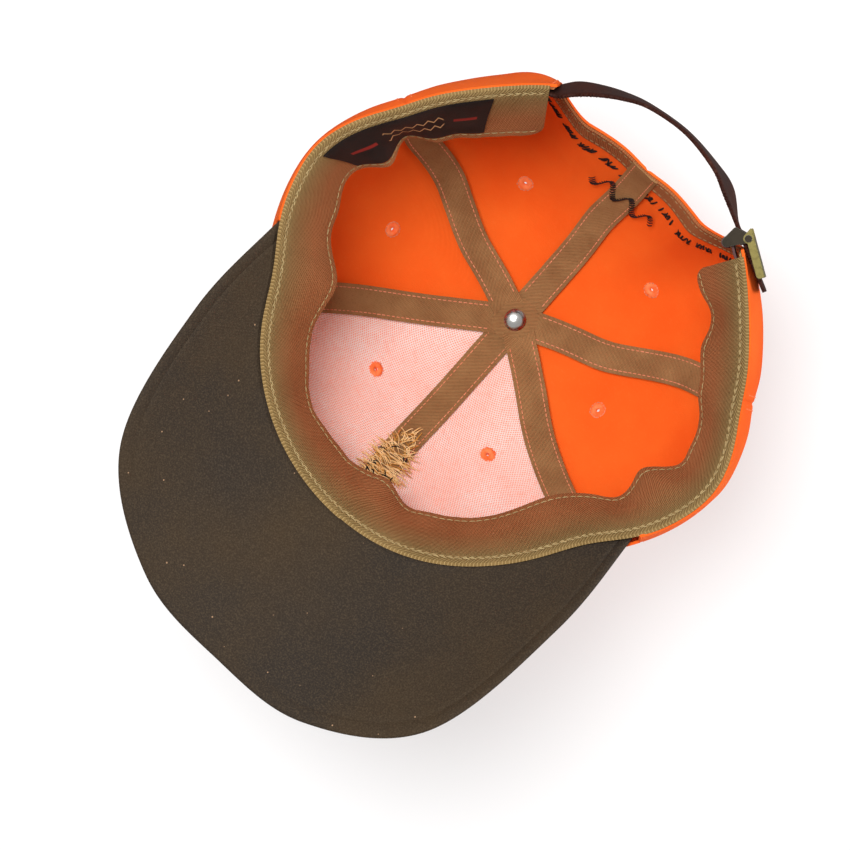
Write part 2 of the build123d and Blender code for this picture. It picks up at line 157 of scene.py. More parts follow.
# Soft creases in the cloth: azimuth, height, width in degrees, height range, outward push
CREASES = [
    (-92, 34, 7, 16, 1.3), (-76, 30, 6, 14, -1.2), (-104, 62, 8, 20, -0.9), (-128, 52, 7, 18, 1.0),
    (88, 32, 8, 15, 1.2), (72, 48, 6, 20, -0.8), (100, 55, 7, 18, -0.8), (131, 44, 8, 16, 0.9),
    (-140, 30, 5, 14, -0.9), (28, 64, 10, 16, 0.5), (-24, 58, 9, 15, 0.5),
    (-60, 66, 5, 22, -2.0), (-69, 60, 5, 20, 1.3), (-95, 70, 5, 20, -1.6), (146, 14, 7, 14, 2.2),
    (-118, 70, 6, 20, 1.0), (152, 72, 6, 16, 0.9), (-158, 66, 6, 16, -1.0),
    (-72, 30, 13, 34, -6.8), (104, 34, 38, 44, -2.1), (80, 40, 9, 30, -0.9), (-78, 92, 12, 9, -1.4),
    (-96, 80, 7, 14, 1.6), (-88, 60, 7, 12, -1.8), (70, 84, 7, 12, 1.3), (92, 74, 8, 10, -1.2),
    (-70, 78, 4, 22, -1.4), (-64, 84, 4, 20, 1.2), (130, 84, 9, 12, -1.3), (142, 60, 9, 10, 1.0),
]


def cloth_shift(azimuth, r, z):
    """How far the real cloth stands out from the even crown: fuller in mid-panel, low at the seams."""
    a = wrap(azimuth)
    near = np.zeros_like(r)
    for seam in SEAMS:
        near = np.maximum(near, bell(np.radians(wrap(a - seam)) * r, 0, SEAM_REACH))
    shift = FULLNESS - SEAM_DIP * near
    for crease, height, width, tall, push in CREASES:
        shift = shift + push * bell(wrap(a - crease), 0, width) * bell(z, height, tall)
    fade = smooth(4, 22, z) * smooth(8, 30, r)
    return shift * fade + foot_shift(a) * np.exp(-np.maximum(z, 0) / FOOT_REACH)


def foot_shift(a):
    """How far the sewn rim stands out from its even outline: the cap sits a little askew."""
    angle = abs(a)
    pinched = -2.8 * bell(angle, 60, 12) + 1.2 * bell(angle, 90, 8) - 1.5 * bell(angle, 109, 8)
    return pinched + np.sign(a) * 2.6 * bell(angle, 46, 27)


def crown(azimuth, t, inset, top_inset=None, lift=0.0):
    """Points of the crown, as an array of shape (..., 3). Lift moves them towards the head."""
    azimuth, t = np.broadcast_arrays(np.asarray(azimuth, float), np.asarray(t, float))
    r, z = meridian(azimuth, t, inset, top_inset)
    return polar(azimuth, r + cloth_shift(azimuth, r, z) - lift, z)


def visor_height(x, y, above=0.0):
    """Height over the plan of the visor's underside, or of a shell above it. Its right half curls more."""
    radius = VISOR_RADIUS - 9 * smooth(-70, -130, y) * smooth(10, -50, x)
    drop = VISOR_AXIS_DROP + radius - VISOR_RADIUS
    rise = np.sqrt(np.maximum((radius + above) ** 2 - x * x, 1)) - drop
    return (rise + y * math.sin(VISOR_TILT)) / math.cos(VISOR_TILT)


def in_arch(x, z):
    up = np.maximum(z - ARCH_CENTRE, 0)
    return (x / ARCH_HALF_WIDTH) ** 2 + (up / (ARCH_TOP - ARCH_CENTRE)) ** 2 < 1


FIRST_GUESS = 92.0                 # the wall's radius, before it is solved


def on_wall(x, z, inset, back):
    """The crown's point at a given x and height, on its back or on its front."""
    x, z = np.broadcast_arrays(np.asarray(x, float), np.asarray(z, float))
    middle, sign, top = (180, -1, 0.9) if back else (0, 1, 0.95)

    def towards(radius):
        return middle + sign * np.degrees(np.arcsin(np.clip(x / radius, -0.99, 0.99)))

    azimuth = towards(FIRST_GUESS)
    for _ in range(5):
        t = halved(lambda mid: meridian(azimuth, mid, inset)[1] <= z, x.shape, top, 15)[0]
        point = crown(azimuth, t, inset)
        azimuth = towards(np.hypot(point[..., 0], point[..., 1]))
    return crown(azimuth, t, inset)


def on_back(x, z, inset):
    return on_wall(x, z, inset, True)


def on_front(x, z, inset):
    return on_wall(x, z, inset, False)


def edge_of_panel(azimuth):
    """The meridian parameter where the cloth starts: at the rim, on the visor, or on the arch."""
    azimuth = np.asarray(azimuth, float)

    def cut_away(t):
        x, y, z = np.moveaxis(crown(azimuth, t, 0), -1, 0)
        seat = np.where(y < PANEL_STEP, visor_height(x, y, VISOR_THICKNESS + 0.15), 0)
        return (z < seat) | ((y > 40) & in_arch(x, z))

    low, high = halved(cut_away, azimuth.shape, 0.6, 30)
    return np.where(low < 1e-6, 0.0, high)


# ------------------------------------------------------------------ meshes

def add(name, data):
    """A new object in the scene."""
    made = bpy.data.objects.new(name, data)
    bpy.context.scene.collection.objects.link(made)
    return made


def build(name, verts, faces, material, slot=None, replaces=(), cloth=None, body=ROOT, angle=40):
    """A mesh piece from millimetre points; cloth is where each point lies on the flat cloth."""
    mesh = bpy.data.meshes.new(name)
    points = np.asarray(verts, float).reshape(-1, 3) * MM
    mesh.from_pydata(points.tolist(), [], [list(map(int, f)) for f in faces])
    if cloth is not None:
        attribute = mesh.attributes.new("cloth", "FLOAT_VECTOR", "POINT")
        flat = np.zeros((len(points), 3))
        flat[:, :2] = np.asarray(cloth, float).reshape(-1, 2) * MM
        attribute.data.foreach_set("vector", flat.ravel())
    mesh.validate()
    mesh.update()
    mesh.shade_smooth()
    mesh.set_sharp_from_angle(angle=math.radians(angle))
    mesh.materials.append(material)
    piece = add(name, mesh)
    if replaces:
        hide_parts(*replaces)
    if body:
        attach(piece, body)
    return piece


def shell_faces(shape, keep=None):
    """Quads of a closed shell made of two grids: the outer one's points, then the inner one's."""
    count = shape[0] * shape[1]
    index = np.arange(count).reshape(shape)
    corners = [index[:-1, :-1], index[1:, :-1], index[1:, 1:], index[:-1, 1:]]
    quads = np.stack(corners, -1).reshape(-1, 4)
    if keep is not None:
        quads = quads[keep.reshape(-1)]
    edges = np.concatenate([quads[:, [i, (i + 1) % 4]] for i in range(4)])
    have = set(map(tuple, edges))
    rim = sorted((i, j) for i, j in have if (j, i) not in have)
    walls = [(j, i, i + count, j + count) for i, j in rim]
    return [tuple(q) for q in np.concatenate([quads, quads[:, ::-1] + count])] + walls


def shell(name, outer, inner, cloth, material, keep=None, **how):
    """A closed piece of cloth between two grids of points. Points in no face are dropped."""
    faces = shell_faces(outer.shape[:2], keep)
    verts = np.concatenate([outer.reshape(-1, 3), inner.reshape(-1, 3)])
    flat = np.concatenate([cloth.reshape(-1, 2)] * 2)
    used, renumbered = np.unique(np.array(faces), return_inverse=True)
    return build(name, verts[used], renumbered.reshape(-1, 4), material, cloth=flat[used], **how)


def tube_faces(rings, sides, base=0):
    """Faces of a tube with closed ends, whose points lie ring after ring."""
    faces = []
    for i in range(rings - 1):
        row, after = base + i * sides, base + (i + 1) * sides
        faces += [(row + k, row + (k + 1) % sides, after + (k + 1) % sides, after + k) for k in range(sides)]
    last = base + (rings - 1) * sides
    return faces + [tuple(range(base + sides - 1, base - 1, -1)), tuple(range(last, last + sides))]


def directions(path):
    return unit(np.gradient(path, axis=0))


def lengths(path):
    return np.concatenate([[0], np.cumsum(np.linalg.norm(np.diff(path, axis=0), axis=1))])


def at_length(path, where):
    """Points of a polyline at distances along it."""
    along = lengths(path)
    return np.stack([np.interp(where, along, path[:, i]) for i in range(path.shape[1])], -1)


class Threads:
    """Many short thread strands, gathered into one mesh."""
    CORNERS = 6
    FLATNESS = 0.75
    ARCH = np.array([-1.6, 0.6, 1.0, 0.6, -1.6])[:, None]

    def __init__(self):
        self.verts, self.faces, self.count = [], [], 0

    def strand(self, points, normals, radius):
        """One closed strand through points, thin at both ends."""
        points, normals = np.asarray(points, float), np.asarray(normals, float)
        ahead = directions(points)
        side = unit(np.cross(ahead, normals))
        up = np.cross(side, ahead)
        girth = radius * np.sin(np.linspace(0.16, 0.84, len(points)) * math.pi) ** 0.5
        angles = np.arange(self.CORNERS)[None, :, None] * 2 * math.pi / self.CORNERS
        ring = np.cos(angles) * side[:, None] + self.FLATNESS * np.sin(angles) * up[:, None]
        self.verts.append((points[:, None] + ring * girth[:, None, None]).reshape(-1, 3))
        self.faces += tube_faces(len(points), self.CORNERS, self.count)
        self.count += len(points) * self.CORNERS

    def row(self, path, normals, pitch=2.9, length=2.2, radius=0.26, sink=0.12, skew=0.0):
        """A row of lockstitch along a path on the cloth; skew leans each stitch sideways."""
        both = np.concatenate([path, normals], 1)
        along = lengths(path)
        for start in np.arange(0.3, along[-1] - length, pitch):
            where = start + np.linspace(0, length, 5) + rng.uniform(-0.08, 0.08)
            got = np.stack([np.interp(where, along, both[:, i]) for i in range(6)], -1)
            points, normal = got[:, :3], unit(got[:, 3:])
            across = np.cross(directions(points), normal)
            lean = np.linspace(-0.5, 0.5, 5)[:, None] * skew
            self.strand(points + normal * self.ARCH * sink + across * lean, normal, radius)

    def make(self, name, material, slot, **how):
        return build(name, np.concatenate(self.verts), self.faces, material, slot=slot, angle=60, **how)


# ------------------------------------------------------------------ materials

class Graph:
    """A node material built step by step. Values are numbers, colours or other nodes' sockets."""

    def __init__(self, name, roughness=0.8, metallic=0.0, specular=0.3):
        self.material = bpy.data.materials.new(name)
        self.material.use_nodes = True
        self.tree = self.material.node_tree
        self.tree.nodes.clear()
        self.shader = self.node("BsdfPrincipled", {
            "Roughness": roughness, "Metallic": metallic, "Specular IOR Level": specular})
        self.node("OutputMaterial", {0: self.shader.outputs[0]})

    def give(self, socket, value):
        if isinstance(value, bpy.types.NodeSocket):
            self.tree.links.new(value, socket)
        elif isinstance(value, tuple) and len(value) == 3 and len(socket.default_value) == 4:
            socket.default_value = (*value, 1)
        else:
            socket.default_value = value

    def node(self, kind, inputs=None, **settings):
        made = self.tree.nodes.new("ShaderNode" + kind)
        for key, value in settings.items():
            setattr(made, key, value)
        for key, value in (inputs or {}).items():
            self.give(made.inputs[key], value)
        return made

    def math(self, operation, a, b=0.0):
        return self.node("Math", {0: a, 1: b}, operation=operation).outputs[0]

    def mix(self, factor, a, b):
        return self.node("Mix", {0: factor, 6: a, 7: b}, data_type="RGBA").outputs[2]

    def place(self):
        return self.node("TexCoord").outputs["Object"]

    def cloth(self):
        """The flat cloth's two directions, in metres."""
        flat = self.node("Attribute", attribute_name="cloth").outputs["Vector"]
        split = self.node("SeparateXYZ", {0: flat})
        return split.outputs[0], split.outputs[1]

    def noise(self, scale, detail=3.0, rough=0.55):
        inputs = {"Vector": self.place(), "Scale": scale, "Detail": detail, "Roughness": rough}
        return self.node("TexNoise", inputs).outputs[0]

    def spots(self, scale, feature="F1"):
        inputs = {"Vector": self.place(), "Scale": scale}
        return self.node("TexVoronoi", inputs, feature=feature).outputs["Distance"]

    def between(self, value, low, high, to_low=0.0, to_high=1.0):
        inputs = {0: value, 1: low, 2: high, 3: to_low, 4: to_high}
        return self.node("MapRange", inputs, clamp=True).outputs[0]

    def tones(self, value, low, high, first, second):
        """One colour where the value is low, and the other where it is high."""
        return self.mix(self.between(value, low, high), linear(*first), linear(*second))

    def flecks(self, base, value, low, high, most, colour):
        """A base with some of another colour where the value is high."""
        return self.mix(self.between(value, low, high, 0, most), base, linear(*colour))

    def wave(self, value, pitch):
        """A sine of a length, with one full period per pitch, in millimetres."""
        return self.math("SINE", self.math("MULTIPLY", value, 2 * math.pi / (pitch * MM)))

    def weave(self, pitch):
        """Height of a plain weave: threads of one direction go over and under the other's."""
        u, v = self.cloth()
        return self.math("MULTIPLY", self.wave(u, pitch), self.wave(v, pitch))

    def bump(self, height, distance, strength=1.0, normal=None):
        made = self.node("Bump", {"Height": height, "Distance": distance * MM, "Strength": strength})
        if normal is not None:
            self.give(made.inputs["Normal"], normal)
        return made.outputs[0]

    def finish(self, colour, normal, roughness=None):
        self.give(self.shader.inputs["Base Color"], colour)
        self.give(self.shader.inputs["Normal"], normal)
        if roughness is not None:
            self.give(self.shader.inputs["Roughness"], roughness)
        return self.material


def linear(red, green, blue):
    """A colour given as 0-255 values of the screen, as the shader needs it."""
    return tuple(((c / 255 + 0.055) / 1.055) ** 2.4 if c > 10 else c / 3294 for c in (red, green, blue))


def orange_cloth():
    g = Graph("orange_cloth", roughness=0.85, specular=0.12)
    weave = g.weave(0.62)
    tone = g.tones(g.noise(28), 0.35, 0.68, (252, 98, 28), (255, 110, 36))
    shade = g.flecks(tone, weave, -1, 1, 0.12, (238, 82, 20))
    colour = g.flecks(shade, g.noise(900, 2), 0.55, 0.85, 0.14, (255, 140, 74))
    return g.finish(colour, g.bump(g.noise(60, 4), 0.35, 0.5, g.bump(weave, 0.10, 0.7)))


def buckram_cloth():
    """Open-weave stiffener with wobbly threads and some orange stain between them."""
    g = Graph("buckram_cloth", roughness=0.85, specular=0.1)
    wobble = g.math("MULTIPLY", g.math("SUBTRACT", g.noise(220, 2), 0.5), 0.5 * MM)
    lines = []
    for way in g.cloth():
        line = g.math("ABSOLUTE", g.wave(g.math("ADD", way, wobble), 1.9))
        lines.append(g.math("POWER", line, 2.0))
    threads = g.math("MAXIMUM", *lines)
    uneven = g.math("MULTIPLY", threads, g.between(g.noise(420), 0.3, 0.7, 0.72, 1.12))
    yarn = g.tones(g.noise(26), 0.38, 0.66, (255, 216, 206), (255, 238, 232))
    colour = g.mix(g.between(uneven, 0.30, 0.80), linear(252, 158, 132), yarn)
    return g.finish(colour, g.bump(uneven, 0.22, 0.8))


def tape_cloth():
    g = Graph("tape_cloth", roughness=0.88, specular=0.08)
    twill = g.wave(g.math("ADD", *g.cloth()), 0.75)
    base = g.tones(g.noise(70, 4), 0.33, 0.7, (140, 98, 60), (166, 124, 80))
    lines = g.flecks(base, twill, -0.4, 1, 0.22, (204, 162, 118))
    colour = g.flecks(lines, g.noise(1300, 2), 0.55, 0.8, 0.35, (84, 58.8, 36))
    height = g.math("ADD", twill, g.math("MULTIPLY", g.weave(0.55), 0.6))
    return g.finish(colour, g.bump(height, 0.10, 0.9))


def band_cloth():
    """Khaki twill, redder and darker towards the free edge, where it reflects the orange cloth."""
    g = Graph("band_cloth", roughness=0.88, specular=0.08)
    u, v = g.cloth()
    twill = g.wave(g.math("ADD", u, g.math("MULTIPLY", v, 1.2)), 1.35)
    cloud = g.noise(45, 4)
    to_edge = g.between(v, 4 * MM, 22 * MM)
    foot = g.tones(cloud, 0.33, 0.7, (130, 104, 62), (154, 124, 78))
    free = g.tones(cloud, 0.33, 0.7, (154, 90, 52), (178, 110, 68))
    pale = g.mix(to_edge, linear(186, 156, 106), linear(190, 128, 86))
    lines = g.mix(g.between(twill, -0.3, 0.9, 0, 0.6), g.mix(to_edge, foot, free), pale)
    colour = g.flecks(lines, g.noise(1500, 2), 0.56, 0.8, 0.3, (92, 62, 38))
    height = g.math("ADD", twill, g.math("MULTIPLY", g.weave(0.5), 0.5))
    return g.finish(colour, g.bump(g.noise(120), 0.3, 0.35, g.bump(height, 0.2)))


def waxed_cotton():
    """Dark heathered cotton with a little pale lint."""
    g = Graph("waxed_cotton", roughness=0.75, specular=0.2)
    cloud = g.noise(16, 4)
    base = g.tones(cloud, 0.35, 0.68, (46, 38, 31), (64, 50, 34))
    fleck = g.flecks(base, g.noise(1500, 3, 0.7), 0.45, 0.72, 0.5, (98, 82, 62))
    dark = g.flecks(fleck, g.noise(2100, 2), 0.5, 0.75, 0.5, (36, 27, 19))
    lint = g.math("MULTIPLY", g.between(g.spots(150), 0.055, 0.035), g.between(g.noise(90, 1), 0.42, 0.5))
    colour = g.mix(lint, dark, linear(176, 140, 108))
    normal = g.bump(g.noise(90, 4), 0.35, 0.4, g.bump(g.weave(0.8), 0.12, 0.6))
    return g.finish(colour, normal, g.between(cloud, 0.3, 0.7, 0.62, 0.8))


def thread_cloth(name, colour, other, roughness=0.55):
    g = Graph(name, roughness=roughness, specular=0.25)
    shade = g.tones(g.noise(300, 2), 0.35, 0.65, colour, other)
    return g.finish(shade, g.bump(g.noise(2600, 2), 0.05, 0.6))


def label_cloth():
    """Black woven satin with a plain zigzag border and two dim bars, and no lettering."""
    g = Graph("label_cloth", roughness=0.6, specular=0.2)
    u, v = g.cloth()

    def away(value, middle):
        return g.math("ABSOLUTE", g.math("SUBTRACT", value, middle))

    base = g.tones(g.noise(80), 0.35, 0.7, (20, 15, 14), (34, 26, 24))
    from_middle = away(u, LABEL_LENGTH / 2 * MM)
    from_centre = away(v, LABEL_WIDTH / 2 * MM)
    zigzag = g.math("ADD", g.math("PINGPONG", u, 2.2 * MM), 1.2 * MM)
    line = g.between(away(from_centre, zigzag), 0.42 * MM, 0.26 * MM)
    border = g.math("MULTIPLY", line, g.between(from_middle, 12.5 * MM, 12.0 * MM))
    colour = g.mix(border, base, linear(196, 150, 104))
    bar_length = g.between(away(from_middle, 21.5 * MM), 5.2 * MM, 4.9 * MM)
    bar_width = g.between(from_centre, 0.9 * MM, 0.6 * MM)
    colour = g.mix(g.math("MULTIPLY", bar_length, bar_width), colour, linear(132, 34, 28))
    return g.finish(colour, g.bump(g.wave(v, 0.5), 0.06, 0.7))


def strap_leather():
    g = Graph("strap_leather", roughness=0.7, specular=0.2)
    cloud = g.noise(55, 5)
    base = g.tones(cloud, 0.35, 0.7, (46, 17, 8), (74, 30, 15))
    crease = g.between(g.spots(1300, "DISTANCE_TO_EDGE"), 0.0, 0.12)
    colour = g.mix(crease, linear(40, 16, 9), base)
    colour = g.flecks(colour, g.noise(240), 0.6, 0.78, 0.5, (96, 60, 46))
    normal = g.bump(g.noise(500, 4), 0.12, 0.6, g.bump(crease, 0.04, 0.4))
    return g.finish(colour, normal, g.between(cloud, 0.3, 0.7, 0.6, 0.8))


def tab_leather():
    g = Graph("tab_leather", roughness=0.55, specular=0.4)
    base = g.tones(g.noise(150, 4), 0.35, 0.7, (62, 20, 16), (98, 36, 28))
    return g.finish(base, g.bump(g.noise(600, 4), 0.10, 0.6))


def worn_and_highlit_edge(g, radius):
    """The rounded normal, and a value that is 1 on the metal's edges and 0 on its faces, used to paint the
    edges lighter: partly rubbed wear, partly a painted highlight.
    """
    bevel = g.node("Bevel", {"Radius": radius * MM}, samples=6).outputs[0]
    flat = g.node("NewGeometry").outputs["Normal"]
    facing = g.node("VectorMath", {0: bevel, 1: flat}, operation="DOT_PRODUCT").outputs["Value"]
    return bevel, g.between(facing, 0.985, 0.88)


def antique_brass():
    g = Graph("antique_brass", metallic=1.0, specular=0.5)
    patina = g.noise(130, 5, 0.65)
    base = g.tones(patina, 0.36, 0.66, (92, 84, 48), (122, 112, 68))
    base = g.flecks(base, g.noise(900), 0.5, 0.75, 0.6, (64, 56, 32))
    bevel, edge = worn_and_highlit_edge(g, 0.35)
    # Lighter on the edges: partly rubbed brass, partly a painted highlight.
    colour = g.flecks(base, edge, 0, 1, 0.6, (176, 166, 120))
    return g.finish(colour, g.bump(g.noise(1400), 0.03, 0.5, bevel), g.between(patina, 0.3, 0.7, 0.42, 0.62))


def dark_steel():
    g = Graph("dark_steel", metallic=1.0, specular=0.3)
    patina = g.noise(160, 4)
    bevel, edge = worn_and_highlit_edge(g, 0.3)
    base = g.tones(patina, 0.35, 0.65, (26, 23, 19), (46, 41, 34))
    # Near white on the edges: partly rubbed wear, partly a painted highlight.
    colour = g.flecks(base, edge, 0, 1, 0.8, (180, 176, 166))
    normal = g.bump(g.noise(1500, 2), 0.02, 0.4, bevel)
    return g.finish(colour, normal, g.between(patina, 0.3, 0.7, 0.35, 0.55))


def polished_metal():
    g = Graph("polished_metal", metallic=1.0, specular=0.5)
    scratch = g.noise(420, 4, 0.7)
    colour = g.mix(g.between(scratch, 0.4, 0.75, 0, 0.5), linear(226, 224, 220), linear(176, 172, 166))
    return g.finish(colour, g.bump(scratch, 0.01, 0.4), g.between(scratch, 0.3, 0.7, 0.10, 0.26))


def plain_board():
    g = Graph("board", roughness=0.6)
    colour = g.tones(g.noise(200), 0.4, 0.7, (214, 208, 194), (196, 188, 172))
    return g.finish(colour, g.bump(g.noise(500), 0.05, 0.5))


ORANGE = orange_cloth()
BUCKRAM_CLOTH = buckram_cloth()
TAPE = tape_cloth()
BAND = band_cloth()
WAXED = waxed_cotton()
LABEL = label_cloth()
STRAP = strap_leather()
TAB = tab_leather()
BRASS = antique_brass()
STEEL = dark_steel()
POLISHED = polished_metal()
BOARD = plain_board()
ORANGE_THREAD = thread_cloth("orange_thread", (255, 112, 52), (255, 140, 84))
PINK_THREAD = thread_cloth("pink_thread", (236, 152, 116), (214, 128, 92))
BROWN_THREAD = thread_cloth("brown_thread", (78, 62, 46), (60, 46, 34))
PALE_THREAD = thread_cloth("pale_thread", (184, 160, 112), (160, 134, 90))
GOLD_THREAD = thread_cloth("gold_thread", (214, 158, 78), (186, 122, 52), 0.42)
CREAM_THREAD = thread_cloth("cream_thread", (250, 214, 158), (232, 186, 120), 0.42)
BLACK_THREAD = thread_cloth("black_thread", (24, 18, 18), (38, 30, 30), 0.6)


# ------------------------------------------------------------------ panels and buckram

def eased(start, end, count):
    """Values from start to end, closer together at both ends."""
    s = np.linspace(0, 1, count)
    return start + (end - start) * (s * 0.25 + 0.75 * (0.5 - 0.5 * np.cos(math.pi * s)))


SIDES = (("left", 1), ("right", -1))
PANEL_COLUMNS, PANEL_ROWS = 90, 100
GROOVE_DEPTH, GROOVE_WIDTH = 0.55, 0.8
PANELS = {"front_panel": (FRONT_SEAM, SIDE_SEAM), "side_panel": (SIDE_SEAM, REAR_SEAM),
          "back_panel": (REAR_SEAM, BACK_SEAM)}


def eyelet_centre(name):
    """The eyelet's place on the crown and the direction out of the crown there."""
    azimuth, t = EYELETS[name]
    point = crown(azimuth, t, 0)
    normal = unit(np.cross(crown(azimuth + 1, t, 0) - point, crown(azimuth, t + 0.01, 0) - point))
    return point, normal if normal @ point > 0 else -normal


def panel_grid(start, end, insets, eyelet):
    """Outer and inner grid of a crown layer, its flat cloth places, and which faces to keep."""
    azimuth = eased(start, end, PANEL_COLUMNS)
    if abs(end) == 180:
        corner = math.copysign(180 - ARCH_CORNER, end)
        azimuth = np.sort(np.concatenate([azimuth, corner + np.linspace(-1.4, 1.4, 15)]))
        azimuth = azimuth if end > 0 else azimuth[::-1]
    first = edge_of_panel(azimuth)[:, None]
    t = first + (1 - first) * np.linspace(0, 1, PANEL_ROWS)
    wide = azimuth[:, None] + 0 * t
    r = meridian(wide, t, 0)[0]
    to_seam = np.minimum(abs(wide - start), abs(wide - end)) * math.pi / 180 * r
    groove = GROOVE_DEPTH * bell(to_seam, 0, GROOVE_WIDTH)
    outer = crown(wide, t, insets[0], lift=groove)
    inner = crown(wide, t, insets[1])
    middle = (start + end) / 2
    flat = np.stack([r * np.sin(np.radians(wide - middle)), t * MERIDIAN_LENGTH], -1)
    middles = (outer[:-1, :-1] + outer[1:, 1:]) / 2
    keep = np.linalg.norm(middles - eyelet_centre(eyelet)[0], axis=-1) > EYELET_CUT
    return outer, inner, flat, keep


def make_layer(node, start, end, insets, eyelet, material, slot):
    """One panel or stiffener of the crown, with its eyelet's hole."""
    outer, inner, flat, keep = panel_grid(start, end, insets, eyelet)
    shell(f"cloth_{node}", outer, inner, flat, material, keep, slot=slot, replaces=[node])


def make_panels():
    for name, (start, end) in PANELS.items():
        for side, sign in SIDES:
            eyelet = name.replace("panel", side)
            make_layer(f"{name}_{side}", sign * start, sign * end, (0, PANEL_THICKNESS), eyelet,
                       ORANGE, "orange_fabric")
    for side, sign in SIDES:
        make_layer(f"buckram_{side}", sign * 0.3, sign * (SIDE_SEAM - 0.3), BUCKRAM, f"front_{side}",
                   BUCKRAM_CLOTH, "buckram_cloth")


# ------------------------------------------------------------------ seam tapes

# How the sewn tapes wander off their seams: seam azimuth, t, reach in t, sideways push
WANDERS = [
    (-55, 0.45, 0.10, -2.2), (-55, 0.72, 0.12, 1.6), (-112, 0.55, 0.12, -2.4), (-112, 0.78, 0.08, 1.6),
    (112, 0.60, 0.09, 1.8), (112, 0.42, 0.07, -1.5), (112, 0.80, 0.07, -1.0), (55, 0.6, 0.14, 0.9),
    (180, 0.62, 0.10, -1.2), (0, 0.55, 0.12, 0.7),
]


def beside_seam(azimuth, side, t, inset, top_inset, lift=0.0):
    """Crown points in planes that lie beside the seam's own plane, with the seam's small wanderings."""
    side, t = np.broadcast_arrays(np.asarray(side, float), np.asarray(t, float))
    for seam, where, reach, push in WANDERS:
        side = side + push * bell(t, where, reach) * (seam == azimuth)
    turn = np.zeros_like(side)
    for _ in range(8):
        r = meridian(azimuth + turn, t, inset, top_inset)[0]
        turn = np.degrees(np.arcsin(np.clip(side / r, -0.98, 0.98)))
    return crown(azimuth + turn, t, inset, top_inset, lift)


def tape_end(azimuth):
    return TAPE_BACK_END if abs(azimuth) == 180 else float(edge_of_panel(azimuth))


TAPES = {
    "seam_tape_centre_front": (FRONT_SEAM, 0), "seam_tape_centre_back": (BACK_SEAM, 0),
    "seam_tape_front_left": (SIDE_SEAM, 1), "seam_tape_back_right": (-REAR_SEAM, 1),
    "seam_tape_long_rear": (REAR_SEAM, 2), "seam_tape_long_front": (-SIDE_SEAM, 2),
}
TAPE_BACK_END, TAPE_TOP = 0.30, 0.975
TAPE_ROW = 0.76                    # how far out a tape is stitched, as a share of its half width
TAPE_LINES = np.array([-1, -0.97, -0.9, -0.72, -0.66, -0.6, -0.3, 0, 0.3, 0.6, 0.66, 0.72, 0.9, 0.97, 1])


def tape_row(threads, azimuth, layer, side):
    """A row of stitches along a tape's inner face."""
    t = np.linspace(tape_end(azimuth) + 0.004, TAPE_TOP - 0.02, 60)
    inset = TAPE_INSET + TAPE_THICKNESS
    top = inset + layer * TAPE_STEP
    path = beside_seam(azimuth, side, t, inset, top)
    deeper = beside_seam(azimuth, side, t, inset + 1, top + 1)
    threads.row(path, unit(deeper - path), pitch=2.2, length=1.85, radius=0.2)


def make_tapes():
    half = TAPE_WIDTH / 2
    sides = TAPE_LINES * half
    threads = Threads()
    for name, (azimuth, layer) in TAPES.items():
        top = TAPE_INSET + layer * TAPE_STEP
        s, along = np.meshgrid(sides, np.linspace(tape_end(azimuth), TAPE_TOP, 90), indexing="ij")
        edge = 0.22 * smooth(0.93, 1.0, abs(s) / half)
        row = 0.12 * bell(abs(s), 0.6 * half, 0.8) - 0.1 * bell(abs(s), TAPE_ROW * half, 0.4)
        seam = row - 0.16 * bell(s, 0, 1.6)
        pucker = 0.16 * np.sin(along * 60 + s * 0.35 + azimuth) * np.sin(along * 23 + azimuth)
        outer = beside_seam(azimuth, s, along, TAPE_INSET, top)
        inner = beside_seam(azimuth, s, along, TAPE_INSET + TAPE_THICKNESS, top + TAPE_THICKNESS,
                            seam - edge + pucker)
        flat = np.stack([s, along * MERIDIAN_LENGTH], -1)
        node = "seam_tape_long" if "long" in name else name
        shell(f"tape_{name[10:]}", inner, outer, flat, TAPE, slot="khaki_tape", replaces=[node])
        for side in (-TAPE_ROW, TAPE_ROW):
            tape_row(threads, azimuth, layer, side * half)
    threads.make("tape_stitches", PINK_THREAD, "orange_thread")


# ------------------------------------------------------------------ binding of the back opening

# Distances from the opening's edge of the lines that shape the binding
BINDING_LINES = np.array([-0.25, 0, 0.3, 1.2, 1.5, 1.8, 4.2, 6.6, 7.0, 7.4, 8.2, BINDING_WIDTH])


def arch_outline(count, away):
    """Points (x, z) along the back opening, a distance away from its edge, from right to left."""
    rise = ARCH_TOP - ARCH_CENTRE
    angle = np.linspace(0, math.pi, count)
    side = unit(np.stack([np.cos(angle) * -rise, np.sin(angle) * ARCH_HALF_WIDTH], -1))
    x = -ARCH_HALF_WIDTH * np.cos(angle) + side[:, 0] * away
    z = ARCH_CENTRE + rise * np.sin(angle) + side[:, 1] * away
    foot = np.linspace(0.3, ARCH_CENTRE - 1, 6)
    leg = np.full(6, ARCH_HALF_WIDTH + away)
    return np.concatenate([-leg, x, leg]), np.concatenate([foot, z, foot[::-1]])


def make_binding():
    x, z = np.stack([arch_outline(150, away) for away in BINDING_LINES], 1)
    rows = bell(BINDING_LINES, 1.5, 0.5) + bell(BINDING_LINES, 7.0, 0.5)
    dip = 0.16 * rows + 0.25 * smooth(7.6, 8.5, BINDING_LINES)
    share = dip[:, None, None] / 0.9
    outer = on_back(x, z, BINDING[0])
    inner = on_back(x, z, BINDING[1] + 0.15) * (1 - share) + on_back(x, z, BINDING[0] + 0.2) * share
    flat = np.stack(np.broadcast_arrays(BINDING_LINES[:, None], lengths(inner[3])), -1)
    shell("binding", inner, outer, flat, BAND, slot="khaki_twill", replaces=["back_opening_binding"])
    threads = Threads()
    for row in (4, 8):
        normal = unit(inner[row] - on_back(x[row], z[row], 0))
        threads.row(inner[row], normal, pitch=2.7, length=2.1, radius=0.25, sink=0.1)
    threads.make("binding_stitches", PALE_THREAD, "orange_thread")


# ------------------------------------------------------------------ sweatband and its label

